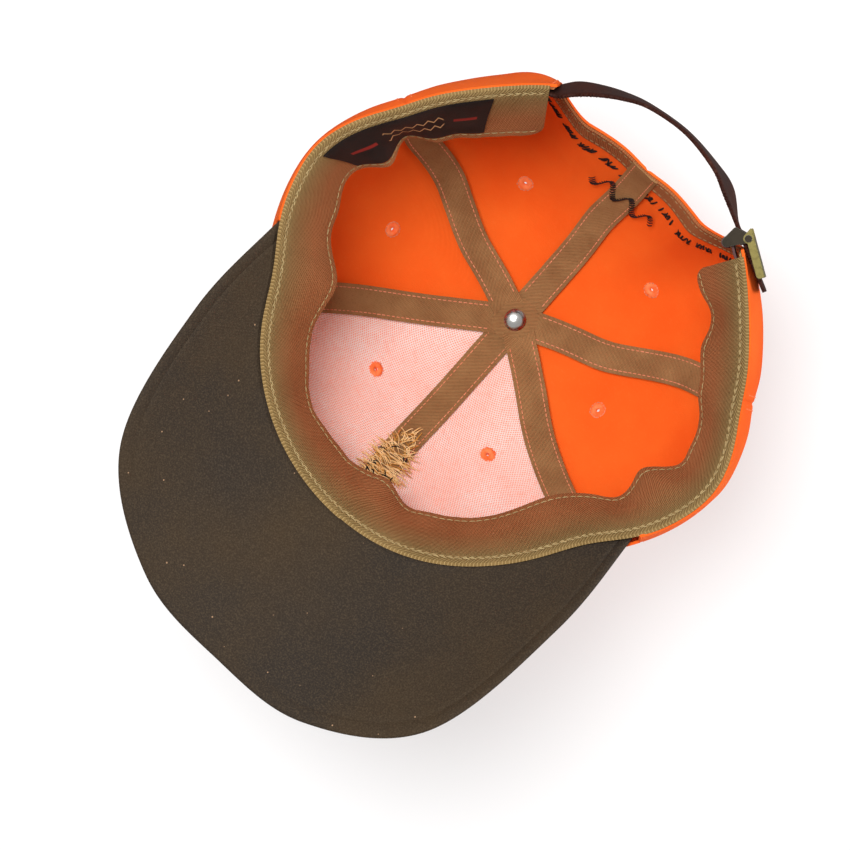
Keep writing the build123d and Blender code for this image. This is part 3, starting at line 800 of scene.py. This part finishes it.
# Folds of the free edge: azimuth, width in degrees, how far they push towards the head
FOLDS = [
    (-82, 5, 5.5), (-71, 4, -2.0), (-50, 13, 3.0), (-3, 7, 4.0), (-11, 4, -1.5), (25, 9, -2.5), (60, 11, 6.0),
    (80, 5, 1.5), (90, 7, -2.0), (99, 4, 3.5), (108, 5, -6.0), (-102, 8, -3.5), (-132, 7, -4.5),
    (-115, 4, -1.0), (120, 5, -1.5), (-91, 4, -2.0),
]
# Shares of the band's height where it gets a line of points: more of them along the stitch rows
BAND_LINES = np.array([0, 0.01, 0.03, 0.05, 0.065, 0.08, 0.1, 0.14, 0.2, 0.28, 0.36, 0.44, 0.52, 0.6,
                       0.68, 0.76, 0.84, 0.89, 0.915, 0.93, 0.945, 0.97, 0.985, 1.0])
BAND_STITCHES = ((0.072, 0.26, 0.5), (0.096, 0.26, -0.5), (0.93, 0.24, 0.0))     # height, girth, skew
BAND_FLAT_RADIUS = 94                 # the radius at which the band's cloth is laid flat
LEAN = 15.6
FLAT_FOOT = 1.6                    # the first millimetres lie nearly flat, towards the head


def band_foot(azimuth):
    """Radius and height of the sweatband's sewn edge. The cap sits a little askew at the front."""
    angle = abs(azimuth)
    r = rim_radius(azimuth) - 1.3 + foot_shift(azimuth)
    a = np.radians(azimuth)
    under = visor_height(r * np.sin(a), -r * np.cos(a)) - 1.4
    return r, under + (-0.7 - under) * smooth(60, 80, angle)


def band_point(azimuth, s, depth=0.0):
    """A point of the sweatband: s from its foot to its free edge, depth towards the head."""
    azimuth, s = np.broadcast_arrays(np.asarray(azimuth, float), np.asarray(s, float))
    r, z = band_foot(azimuth)
    inward = np.full_like(azimuth, LEAN)
    for centre, width, push in FOLDS:
        inward = inward + push * bell(azimuth, centre, width) * smooth(0.05, 0.85, s)
    crinkle = 0.22 * np.sin(azimuth * 0.31 + 2.2 * s) + 0.1 * np.sin(azimuth * 0.83 + 4 * s)
    inward = inward + crinkle * (0.5 + 0.5 * np.sin(azimuth * 0.047 + 1)) * s
    tall = math.sqrt(BAND_HEIGHT ** 2 - LEAN ** 2)
    turned = 1 - np.exp(-s * 14)
    belly = 0.9 * np.sin(math.pi * np.clip(s, 0, 1))
    radius = r - FLAT_FOOT * turned - (inward - FLAT_FOOT) * s + belly - depth
    return polar(azimuth, radius, z + tall * s - 1.3 * turned * (1 - s))


def band_grid():
    """Azimuths and shares of the height over the whole sweatband, with rounded corners at its ends."""
    wide, tall = np.meshgrid(np.linspace(-BAND_END, BAND_END, 560), BAND_LINES, indexing="ij")
    corner = np.clip((abs(wide) - BAND_END + 4) / 4, 0, 1)
    return wide, tall * (1 - 0.16 * (1 - np.sqrt(1 - corner ** 2)))


def band_normal(azimuth, s):
    """Directions out of the sweatband's face, towards the head."""
    a = band_point(azimuth + 0.3, s) - band_point(azimuth - 0.3, s)
    b = band_point(azimuth, s + 0.01) - band_point(azimuth, s - 0.01)
    normal = unit(np.cross(b, a))
    inward = band_point(azimuth, s) * (-1, -1, 0)
    return normal * np.sign((normal * inward).sum(-1, keepdims=True))


def make_sweatband():
    wide, tall = band_grid()
    groove = 0.22 * (bell(tall, 0.075, 0.016) + bell(tall, 0.93, 0.012))
    puff = 0.06 * np.sin(wide * 0.7) * bell(tall, 0.075, 0.07)
    inner = band_point(wide, tall, BAND_THICKNESS / 2) + band_normal(wide, tall) * (puff - groove)[..., None]
    outer = band_point(wide, tall, -BAND_THICKNESS / 2)
    flat = np.stack([np.radians(wide) * BAND_FLAT_RADIUS, tall * BAND_HEIGHT], -1)
    shell("band", inner, outer, flat, BAND, slot="khaki_twill", replaces=["sweatband"])
    threads = Threads()
    azimuth = np.linspace(-BAND_END + 1, BAND_END - 1, 900)
    for s, radius, skew in BAND_STITCHES:
        normal = band_normal(azimuth, np.full_like(azimuth, s))
        path = band_point(azimuth, s, BAND_THICKNESS / 2) - normal * 0.12
        threads.row(path, normal, length=2.5, radius=radius, skew=skew)
    threads.make("band_stitches", PALE_THREAD, "orange_thread")


def make_label():
    """A satin label over the sweatband, sewn down along both long edges, with slanted ends."""
    along, tall = np.meshgrid(np.linspace(0, 1, 90), np.linspace(0, 1, 16), indexing="ij")
    slant = (tall - 0.5) * 4 * (1 - 2 * along)
    azimuth = LABEL_START + LABEL_SPAN * along + slant
    s = 0.14 + 0.74 * tall
    puff = 0.5 * np.sin(math.pi * tall) ** 0.5 * (1 + 0.4 * np.sin(along * 17))
    normal = band_normal(azimuth, s)
    base = band_point(azimuth, s, BAND_THICKNESS / 2)
    inner = base + normal * (0.45 + puff)[..., None]
    flat = np.stack([LABEL_LENGTH * along, LABEL_WIDTH * tall], -1)
    shell("label", inner, base + normal * 0.1, flat, LABEL, slot="label_satin", replaces=["sweatband_label"])


# ------------------------------------------------------------------ visor

VISOR_COLUMNS = 260
VISOR_ROW = 5.8                    # the stitch row's distance from the visor's edge
AT_ROOT = 1000.0                   # further in than the visor is wide, so it means the root
TOP_EDGE = ((6.5, 4.15), (4.4, 4.25), (3.4, 4.35), (2.5, 4.5), (1.9, 4.4))

def spline(points, count):
    """An even polyline along a Catmull-Rom curve through the points."""
    p = np.asarray(points, float)
    p = np.concatenate([[2 * p[0] - p[1]], p, [2 * p[-1] - p[-2]]])
    t = np.linspace(0, 1, 40)[:, None]
    parts = []
    for a, b, c, d in zip(p[:-3], p[1:-2], p[2:-1], p[3:]):
        bend, twist = 2 * a - 5 * b + 4 * c - d, 3 * b - a - 3 * c + d
        parts.append(0.5 * (2 * b + (c - a) * t + bend * t ** 2 + twist * t ** 3))
    path = np.concatenate(parts)
    return at_length(path, np.linspace(0, lengths(path)[-1], count))


def visor_rim(count):
    """The visor's outline in plan, from the left tip to the right one, and the directions out of it."""
    left = [(90.6, VISOR_BACK + 2), (91.2, -75.5), (78.0, -131.0), (40.2, -161.7), (0.0, -168.3)]
    right = [(-39.7, -164.1), (-75.6, -135.0), (-87.7, -76.0), (-87.0, VISOR_BACK + 1.5)]
    rim = spline(left + right, count)
    ahead = directions(rim)
    return rim, np.stack([-ahead[:, 1], ahead[:, 0]], -1)


def visor_root(count):
    """The plan line where the visor goes in under the crown's wall."""
    tip = math.degrees(math.atan2(VISOR_TIP_SIDE, -VISOR_BACK))
    azimuth = np.linspace(tip, -tip, count)
    return polar(azimuth, band_foot(azimuth)[0] - 0.5, 0 * azimuth)[:, :2]


def visor_shell(name, profile, material, slot, node, thick=0.8, plain=False):
    """A cover of the visor. A spot of its profile says how far in from the outline it lies, how far above
    the underside, and in which direction the cover's other face is: inwards and up. Plain cloth is laid
    straight over the plan, and other cloth follows the outline."""
    inset, above, face_in, face_up = np.array(profile, float).T
    rim, out = visor_rim(VISOR_COLUMNS)
    across = visor_root(VISOR_COLUMNS) - rim
    wide = np.linalg.norm(across, axis=1)[:, None]
    share = np.clip(inset / np.maximum(wide, 1), 0, 1)
    outside = np.minimum(inset, 0)[:, None]
    plan = rim[:, None] + across[:, None] * share[..., None] - out[:, None] * outside
    wave = 0.35 * np.sin(np.linspace(0, 9, VISOR_COLUMNS))[:, None] * smooth(60, 0, inset)

    def face(plan, above):
        z = visor_height(plan[..., 0], plan[..., 1], above) + wave
        return np.concatenate([plan, z[..., None]], -1)

    inner = face(plan - out[:, None] * face_in[:, None] * thick, above + face_up * thick)
    inwards = np.where(inset >= AT_ROOT, 70, inset) + np.linspace(0, 1, len(inset))
    flat = plan if plain else np.stack(np.broadcast_arrays(lengths(rim)[:, None], inwards), -1)
    shell(name, face(plan, above), inner, flat, material, slot=slot, replaces=[node])


def make_visor():
    middle = [AT_ROOT, 90, 80, 70, 60, 52, 45, 38, 32, 27, 22, 18, 14, 11, 9]
    stitch_dip = [(7.5, -0.05, 0, 1), (6.4, 0.12, 0, 1), (5.8, 0.32, 0, 1), (5.2, 0.12, 0, 1),
                  (4.2, -0.12, 0, 1)]
    turned_edge = [(2.6, -0.1, 0, 1), (1.2, 0.05, 0.2, 0.9), (0.3, 0.4, 0.5, 0.7), (-0.3, 1.0, 0.9, 0.4),
                   (-0.55, 1.9, 1, 0), (-0.3, 2.7, 0.9, -0.3), (0.35, 3.3, 0.6, -0.8), (1.4, 3.75, 0.3, -1),
                   (2.4, 3.9, 0, -1)]
    under = [(inset, 0, 0, 1) for inset in middle] + stitch_dip + turned_edge
    visor_shell("visor_underside", under, WAXED, "waxed_cotton", "visor_under_cover", plain=True)
    top = [(inset, 4, 0, -1) for inset in middle]
    top += [(inset, above, 0, -1) for inset, above in TOP_EDGE]
    visor_shell("visor_topside", top, WAXED, "waxed_cotton", "visor_top_cover", thick=0.7)
    board = [(inset + 2.6, 1, 0, 1) for inset in middle] + [(7, 1, 0, 1), (3, 1, 0, 1)]
    visor_shell("visor_stiffener", board, BOARD, "stiffener", "visor_board", thick=2.0)
    rim, out = visor_rim(700)
    x, y = (rim - out * VISOR_ROW)[12:-12].T
    path = np.stack([x, y, visor_height(x, y, VISOR_THICKNESS + 0.32)], -1)
    threads = Threads()
    threads.row(path, np.zeros_like(path) + (0, 0, 1), radius=0.24)
    threads.make("visor_stitches", BROWN_THREAD, "waxed_cotton")


# ------------------------------------------------------------------ button and eyelets

def lathe(name, profile, centre, up, material, segments=64, **how):
    """A closed turned solid: profile is a loop of (radius, height) points."""
    up = unit(np.asarray(up, float))
    side = unit(np.cross(up, [0.0, 1.0, 0.3]))
    turns = np.linspace(0, 2 * math.pi, segments, endpoint=False)[:, None]
    ways = np.cos(turns) * side + np.sin(turns) * np.cross(up, side)
    r, height = np.array(profile).T[..., None]
    verts = (centre + ways[:, None] * r + up * height).reshape(-1, 3)
    index = np.arange(len(verts)).reshape(segments, -1)
    after = np.roll(index, -1, 0)
    quads = np.stack([index, np.roll(index, -1, 1), np.roll(after, -1, 1), after], -1)
    return build(name, verts, quads.reshape(-1, 4), material, cloth=verts[:, :2], **how)


def make_button():
    """The covered button on top, the crossing of the tapes under it, and the rivet inside."""
    dome = [(x, 112.6 + 4.3 * math.sqrt(1 - (x / 7.5) ** 2)) for x in np.linspace(0.02, 7.3, 18)]
    edge = [(7.5, 112.9), (7.45, 112.3), (7.1, 111.9)]
    inner = [(6.6, 112.2), (6.0, 113.6), (3.5, 115.2), (0.02, 115.9)]
    hub = [(0.02, 107.7), (5.0, 107.7), (8.0, 107.9), (9.6, 108.3), (9.6, 108.9), (0.02, 109.1)]
    cap = [(4.5 * k, 105.9 + 1.2 * k * k) for k in np.linspace(0.005, 1, 16)]
    stem = [(4.55, 107.3), (4.3, 107.6), (1.6, 107.7), (1.6, 111.5), (0.02, 111.6)]
    for name, profile, material, slot, nodes in (
            ("button_cloth", dome + edge + inner, ORANGE, "orange_fabric", ["crown_button_cover"]),
            ("tape_hub", hub, TAPE, "khaki_tape", []),
            ("rivet", cap + stem, POLISHED, "bright_metal", ["crown_button_rivet"])):
        lathe(name, profile, np.zeros(3), (0, 0, 1), material, slot=slot, replaces=nodes)
    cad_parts["crown_button_shell"].data.materials[0] = POLISHED


def make_eyelet(name, deep):
    """An eyelet's core and the stitches round it, which also show on its inside."""
    centre, out = eyelet_centre(name)
    side = unit(np.cross(out, [0.0, 0.0, 1.0]))
    other = np.cross(out, side)
    hole = EYELET_HOLE + 0.15
    ring = [(EYELET_HOLE, -deep + 0.15), (hole, 0.1), (2.6, 0.12), (2.9, -0.1), (2.9, -deep + 0.1),
            (2.5, -deep - 0.05), (hole, -deep - 0.05)]
    lathe(f"eyelet_core_{name}", ring, centre, out, ORANGE_THREAD, 40, slot="orange_thread",
          replaces=[f"eyelet_{name}"])
    threads = Threads()
    for i in range(EYELET_STITCHES):
        a = 2 * math.pi * (i + rng.uniform(-0.2, 0.2)) / EYELET_STITCHES
        way = math.cos(a) * side + math.sin(a) * other
        reach = EYELET_RADIUS + rng.uniform(-0.25, 0.3)
        arch = ((EYELET_HOLE - 0.1, -0.3), (1.4, 0.12), (2.1, 0.2), (reach - 0.3, 0.05), (reach, -0.25))
        for level, normal in ((0.18, out), (-deep - 0.12, -out)):
            spots = [centre + way * x + out * level + normal * y for x, y in arch]
            threads.strand(spots, [normal] * 5, 0.30)
    threads.make(f"eyelet_stitches_{name}", ORANGE_THREAD, "orange_thread")
    if name.startswith("front"):
        return
    border = Threads()
    lift = np.array([-0.3, 0.1, 0.2, 0.1, -0.3])[:, None]
    for i in range(14):
        turn = 2 * math.pi * (i + np.linspace(-0.45, 0.45, 5)) / 14 + rng.uniform(-0.05, 0.05)
        reach = EYELET_RADIUS * rng.uniform(0.92, 1.04)
        ways = np.cos(turn)[:, None] * side + np.sin(turn)[:, None] * other
        border.strand(centre + ways * reach - out * (deep + 0.1 + lift), [-out] * 5, 0.22)
    border.make(f"eyelet_border_{name}", PINK_THREAD, "orange_thread")


def make_eyelets():
    for name in EYELETS:
        make_eyelet(name, 1.95 if name.startswith("front") else 1.25)


# ------------------------------------------------------------------ embroideries


def satin(threads, place, inset, stitches, radius, lift):
    """Satin stitches through two or three plane spots each, laid on a surface and arched off it."""
    t = np.linspace(0, 1, 6)
    x, z = [], []
    for spots in stitches:
        for line, values in zip((x, z), np.transpose(spots)):
            line.append(np.interp(t, np.linspace(0, 1, len(values)), values))
    x, z = np.array(x), np.array(z)
    normal = unit(place(x, z, inset - 1) - place(x, z, inset + 1)) * np.sign(lift)
    path = place(x, z, inset) + normal * (np.sin(math.pi * t)[:, None] * abs(lift) - 0.15)
    for points, across in zip(path, normal):
        threads.strand(points, across, radius)


LEAF_LOW, LEAF_HIGH, LEAF_HALF, LEAF_PITCH = 57.0, 87.0, 11.5, 0.62


def make_leaf():
    """A plain leaf of satin stitch at the front, with its loose back inside the crown."""
    outside, inside, ends = [], [], []
    for z in np.arange(LEAF_LOW + 0.6, LEAF_HIGH, LEAF_PITCH):
        s = (z - LEAF_LOW) / (LEAF_HIGH - LEAF_LOW)
        half = LEAF_HALF * math.sin(math.pi * s) ** 0.8 + 0.6
        for side in (1, -1):
            reach = side * (half + rng.uniform(-0.5, 0.5))
            outside.append([(side * 0.5, z - 1.4), (reach, z + 1.4)])
            for _ in range(2):
                start = np.array([side * 0.3 + rng.uniform(-2.5, 4), z + rng.uniform(-2.5, 1)])
                end = np.array([reach * rng.uniform(0.5, 1.0), z + rng.uniform(-2.5, 4)])
                inside.append([start, (start + end) / 2 + rng.uniform(-0.8, 0.8, 2), end])
    for _ in range(16):
        spot = rng.uniform([-7, 60], [7, 80])
        turn = rng.uniform(0, math.pi)
        step = np.array([math.cos(turn), math.sin(turn)]) * rng.uniform(1.2, 2.6)
        ends.append([spot - step, spot + step])
    gold, cream, knots = Threads(), Threads(), Threads()
    satin(gold, on_front, -0.1, outside, 0.36, 0.7)
    satin(gold, on_front, 3.3, inside[::3], 0.27, -0.7)
    satin(cream, on_front, 3.35, inside[1::3] + inside[2::3], 0.27, -0.8)
    satin(cream, on_front, -0.5, [[(0, LEAF_LOW - 5), (0, 72)], [(0, 71), (0, LEAF_HIGH - 2)]], 0.5, 0.9)
    satin(knots, on_front, 3.4, ends, 0.3, -0.9)
    gold.make("front_leaf", GOLD_THREAD, "gold_thread", replaces=["front_embroidery"])
    cream.make("front_leaf_veins", CREAM_THREAD, "gold_thread")
    knots.make("front_leaf_thread_ends", BLACK_THREAD, "black_thread")


ROPE_AWAY, ROPE_PITCH = 15.7, 1.5


def make_rope():
    """A twisted rope of thread over the back opening, sewn through to the inside, with a short row above."""
    path = np.stack(arch_outline(400, ROPE_AWAY), -1)
    total = lengths(path)[-1]
    outside, inside, loose = [], [], []
    for i, where in enumerate(np.arange(total * 0.2, total * 0.8, ROPE_PITCH)):
        before, spot, after = at_length(path, np.array([where - 0.5, where, where + 0.5]))
        ahead = (after - before) / np.linalg.norm(after - before)
        side = np.array([-ahead[1], ahead[0]]) * 1.9
        outside.append([spot - ahead * 1.5 - side, spot, spot + ahead * 1.5 + side])
        slips = rng.uniform(-0.7, 0.7, 4)
        if i % 7 < 5:
            a = spot + ahead * (slips[0] - 0.9) - side * (0.85 + slips[1] * 0.4)
            b = spot + ahead * (slips[2] + 0.9) + side * (0.85 + slips[3] * 0.4)
            inside.append([a, b])
            if i % 3 == 0:
                loose.append([a + ahead * 1.5, b - ahead * 1.2])
    top = [[(x0 - 0.9, 74 + 3.4 * math.sin(x0 * 0.62)), (x0 + 0.9, 76 + 3.4 * math.sin(x0 * 0.62))]
           for x0 in np.arange(-15, 15.2, 0.55)]
    rope = Threads()
    satin(rope, on_back, -0.1, outside, 0.62, 0.7)
    satin(rope, on_back, 1.25, inside, 0.46, -0.5)
    satin(rope, on_back, 1.3, loose, 0.34, -0.7)
    satin(rope, on_back, -0.1, top, 0.32, 0.7)
    satin(rope, on_back, 3.35, top, 0.32, -0.5)
    rope.make("back_rope", BLACK_THREAD, "black_thread", replaces=["back_embroidery"])


# ------------------------------------------------------------------ strap and buckle

STRAP_WIDTH, STRAP_THICKNESS, STRAP_MID_HEIGHT = 15.0, 1.4, 9.3
BUCKLE_AZIMUTH, BUCKLE_LEAN = -146.6, math.radians(6.5)
PIN_OUT, PIN_ALONG = 93.0, 6.5
STRAP_OUTER_FACE, TAIL_TILT = -1.4, math.radians(7.0)
TAIL_START, TAIL_END = 7.8, -20.8
TAB_BAR, TAB_BAR_RADIUS, TAB_THICKNESS, TAB_WIDTH = (0.9, -8.2), 1.0, 1.2, 12.0
# The loop's stations: azimuth, radius and outward lean in degrees
STRAP_LOOP = [(153.5, 89.9, 24), (158.5, 91.7, 20), (164.5, 93.5, 14), (171, 94.9, 8.5), (181, 95.5, 8),
              (191, 94.8, 12), (197.5, 93.6, 19)]


def buckle_frame():
    """Origin and unit directions of the buckle: to the opening, outwards, and along the pin."""
    out = polar(BUCKLE_AZIMUTH, 1.0, 0.0)
    along = np.array([out[1], -out[0], 0])
    up = np.array([0, 0, math.cos(BUCKLE_LEAN)]) + out * math.sin(BUCKLE_LEAN)
    pin = out * PIN_OUT + along * PIN_ALONG + np.array([0, 0, STRAP_MID_HEIGHT])
    return pin, along, np.cross(up, along), up


def strap_path():
    """Mid-line points of the strap and the directions across it, from the sewn end to the tail."""
    sewn = [(azimuth, float(meridian(azimuth, 0.052, 2.8)[0]), lean)
            for azimuth, lean in ((180 - ARCH_CORNER - 4.5, 10), (180 - ARCH_CORNER, 20))]
    spots, ups = [], []
    for azimuth, r, lean in sewn + STRAP_LOOP:
        tilt = math.radians(lean)
        spots.append(polar(azimuth, r, STRAP_MID_HEIGHT))
        ups.append(polar(azimuth, math.sin(tilt), math.cos(tilt)))
    pin, along, out, up = buckle_frame()
    back = -along * math.cos(TAIL_TILT) + out * math.sin(TAIL_TILT)
    face = out * math.cos(TAIL_TILT) + along * math.sin(TAIL_TILT)
    middle = pin + face * (STRAP_OUTER_FACE - STRAP_THICKNESS / 2)
    for distance in (-TAIL_START, -3.0, 2.0, 7.0, 12.0, 17.0, -TAIL_END):
        spots.append(middle + back * distance)
        ups.append(up)
    both = spline(np.concatenate([spots, np.array(ups) * 20], 1), 400)
    return both[:, :3], unit(both[:, 3:])


def make_strap():
    path, up = strap_path()
    face = np.cross(directions(path), up)
    along = lengths(path)
    half = STRAP_WIDTH / 2
    round_end = np.clip((along - along[-1] + 4) / 4, 0, 1)
    width = half - 3.2 * (1 - np.sqrt(1 - round_end ** 2))
    fuzz = sum(np.sin(along * f + p) for f, p in ((5.3, 0), (9.1, 1), (14.7, 2), (23.0, 0.5)))
    torn = 0.14 * fuzz + 0.3 * (np.sin(along * 3.1) > 0.93)
    across = np.linspace(-half + 0.45, half - 0.45, 9)
    ring = [(x, 0.5) for x in across] + [(half - 0.12, 0.36), (half, 0.0), (half - 0.12, -0.36)]
    ring += [(x, -0.5) for x in across[::-1]] + [(-half + 0.15, -0.36), (-half, 0.0), (-half + 0.15, 0.36)]
    x, level = np.array(ring).T
    share = x / half
    push = torn[:, None] * (share < -0.9) * (0.6 + 0.4 * (level != 0))
    off = level * STRAP_THICKNESS + 0.12 * (1 - share ** 2) * np.sign(level)
    sideways = share * width[:, None] - push
    verts = path[:, None] + up[:, None] * sideways[..., None] + face[:, None] * off[:, None]
    flat = np.stack(np.broadcast_arrays(along[:, None], x), -1)
    piece = build("strap", verts, tube_faces(len(path), len(ring)), STRAP, slot="strap_leather", cloth=flat,
                  replaces=["strap_band", "strap_tail"], body=None, angle=60)
    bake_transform(piece)


def make_tab():
    """The leather tab: a strip that lies along the crown, turns round the frame's bar and comes back."""
    pin, along, out, up = buckle_frame()
    x, y = TAB_BAR
    middle = TAB_BAR_RADIUS + 0.06 + TAB_THICKNESS / 2
    turns = np.radians(np.linspace(90, -180, 28))
    loop = [(x + middle * math.cos(a), y + middle * math.sin(a)) for a in turns]
    strip = [(x - d, y + middle + 0.05 * math.sin(d)) for d in np.linspace(11.5, 0.6, 14)]
    end = [(x - middle - 0.2 * d, y + 0.5 * d) for d in (0.5, 1.0)]
    line = np.array(strip + loop + end)
    ahead = directions(line)
    side = np.stack([-ahead[:, 1], ahead[:, 0]], -1)
    across = np.linspace(-0.5, 0.5, 9)
    thin = (0.5 - 0.12 * smooth(0.42, 0.5, abs(across))) * TAB_THICKNESS
    grids = []
    for sign in (1, -1):
        spots = line[:, None] + side[:, None] * (sign * thin)[:, None]
        world = spots[..., :1] * along + spots[..., 1:] * out
        grids.append(pin + world + (across * TAB_WIDTH)[:, None] * up)
    flat = np.stack(np.broadcast_arrays(lengths(line)[:, None], across * TAB_WIDTH), -1)
    shell("tab", *grids, flat, TAB, slot="strap_leather", replaces=["buckle_tab"])


def make_buckle():
    for node, metal in (("buckle_lever", BRASS), ("buckle_frame", STEEL), ("buckle_pin", STEEL)):
        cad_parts[node].data.materials[0] = metal
    make_tab()


# ------------------------------------------------------------------ topstitching outside

SEAM_ROW, ARCH_ROW = 2.6, 1.6      # distances of the rows from a seam and from the opening's edge


def make_seam_stitches():
    def top_row(path, deeper):
        threads.row(path, unit(path - deeper), pitch=2.8, length=2.1, radius=0.23)

    threads = Threads()
    for azimuth in SEAMS:
        t = np.linspace(float(edge_of_panel(azimuth)) + 0.02, 0.94, 70)
        for side in (-SEAM_ROW, SEAM_ROW):
            top_row(beside_seam(azimuth, side, t, 0, 0), beside_seam(azimuth, side, t, 1, 1))
    x, z = arch_outline(260, ARCH_ROW)
    top_row(on_back(x, z, 0), on_back(x, z, 1))
    threads.make("crown_stitches", ORANGE_THREAD, "orange_thread")


# ------------------------------------------------------------------ camera, light and stage

CAMERA_DISTANCE = 1150.0         # from the rim's plane
VIEW_WIDTH = 318.75              # what the camera sees at the rim's plane
PICTURE_RIGHT = Vector((-0.749, 0.663, 0))
LOOK_AT = Vector((-0.8, -51.9, 0))
FLOOR_GLOW = 0.56                # how much of the floor's light is its own
SKY_ON_CAP, SKY_SEEN = 0.42, 1.05


def make_camera():
    data = bpy.data.cameras.new("camera")
    data.sensor_width = 36.0
    data.lens = data.sensor_width * CAMERA_DISTANCE / VIEW_WIDTH
    data.clip_end = 50
    camera = add("camera", data)
    place = Vector((0, 0, -CAMERA_DISTANCE)) * MM
    ahead = (LOOK_AT * MM - place).normalized()
    right = PICTURE_RIGHT.normalized()
    right = (right - ahead * right.dot(ahead)).normalized()
    turn = Matrix((right, right.cross(ahead), -ahead)).transposed().to_4x4()
    camera.matrix_world = Matrix.Translation(place) @ turn
    bpy.context.scene.camera = camera


def area_light(name, place, size, power):
    """A round lamp that faces the cap."""
    data = bpy.data.lights.new(name, "AREA")
    data.shape = "DISK"
    data.size = size
    data.energy = power
    turn = (Vector((0, 0, 0.05)) - Vector(place)).to_track_quat("-Z", "Y").to_matrix().to_4x4()
    add(name, data).matrix_world = Matrix.Translation(place) @ turn


def floor_material(name):
    """Half glowing and half lit from above, and clear when seen from behind."""
    material = bpy.data.materials.new(name)
    material.use_nodes = True
    tree = material.node_tree
    tree.nodes.clear()
    kinds = ("OutputMaterial", "MixShader", "MixShader", "BsdfDiffuse", "Emission", "BsdfTransparent",
             "NewGeometry")
    nodes = [tree.nodes.new("ShaderNode" + kind) for kind in kinds]
    output, mix, pale, lit, glow, clear, side = nodes
    lit.inputs[0].default_value = (0.98, 0.98, 0.98, 1)
    glow.inputs[1].default_value = 1.0
    pale.inputs[0].default_value = FLOOR_GLOW
    for start, end in ((lit.outputs[0], pale.inputs[1]), (glow.outputs[0], pale.inputs[2]),
                       (side.outputs["Backfacing"], mix.inputs[0]), (pale.outputs[0], mix.inputs[1]),
                       (clear.outputs[0], mix.inputs[2]), (mix.outputs[0], output.inputs[0])):
        tree.links.new(start, end)
    return material


def make_floor(name, height, faces_up):
    """A pale floor seen from one side only, so that it never hides the cap."""
    reach = 3.0
    corners = [(x * reach, y * reach, height) for x, y in ((-1, -1), (1, -1), (1, 1), (-1, 1))]
    mesh = bpy.data.meshes.new(name)
    mesh.from_pydata(corners, [], [(0, 1, 2, 3) if faces_up else (3, 2, 1, 0)])
    mesh.materials.append(floor_material(name))
    floor = add(name, mesh)
    floor.visible_shadow = floor.visible_diffuse = floor.visible_glossy = False


def make_studio():
    low, high = cad_box
    make_floor("floor_under_crown", high.z + 0.001, False)
    make_floor("floor_under_cap", low.z - 0.004, True)
    world = bpy.data.worlds.new("studio")
    world.use_nodes = True
    tree = world.node_tree
    sky = tree.nodes["Background"]
    sky.inputs[0].default_value = (1, 1, 1, 1)
    rays = tree.nodes.new("ShaderNodeLightPath")
    strength = tree.nodes.new("ShaderNodeMapRange")
    strength.inputs[3].default_value = SKY_ON_CAP
    strength.inputs[4].default_value = SKY_SEEN
    tree.links.new(rays.outputs["Is Camera Ray"], strength.inputs[0])
    tree.links.new(strength.outputs[0], sky.inputs[1])
    bpy.context.scene.world = world
    area_light("key_below", (0.40, 0.05, -1.45), 0.75, 22)
    area_light("key_above", (-0.7, -0.8, 1.1), 0.7, 9)
    area_light("fill_side", (-0.95, 0.75, -0.15), 0.7, 9)
    bpy.context.scene.view_settings.view_transform = "Standard"


make_panels()
make_tapes()
make_binding()
make_sweatband()
make_label()
make_visor()
make_button()
make_eyelets()
make_leaf()
make_rope()
make_strap()
make_buckle()
make_seam_stitches()
make_camera()
make_studio()
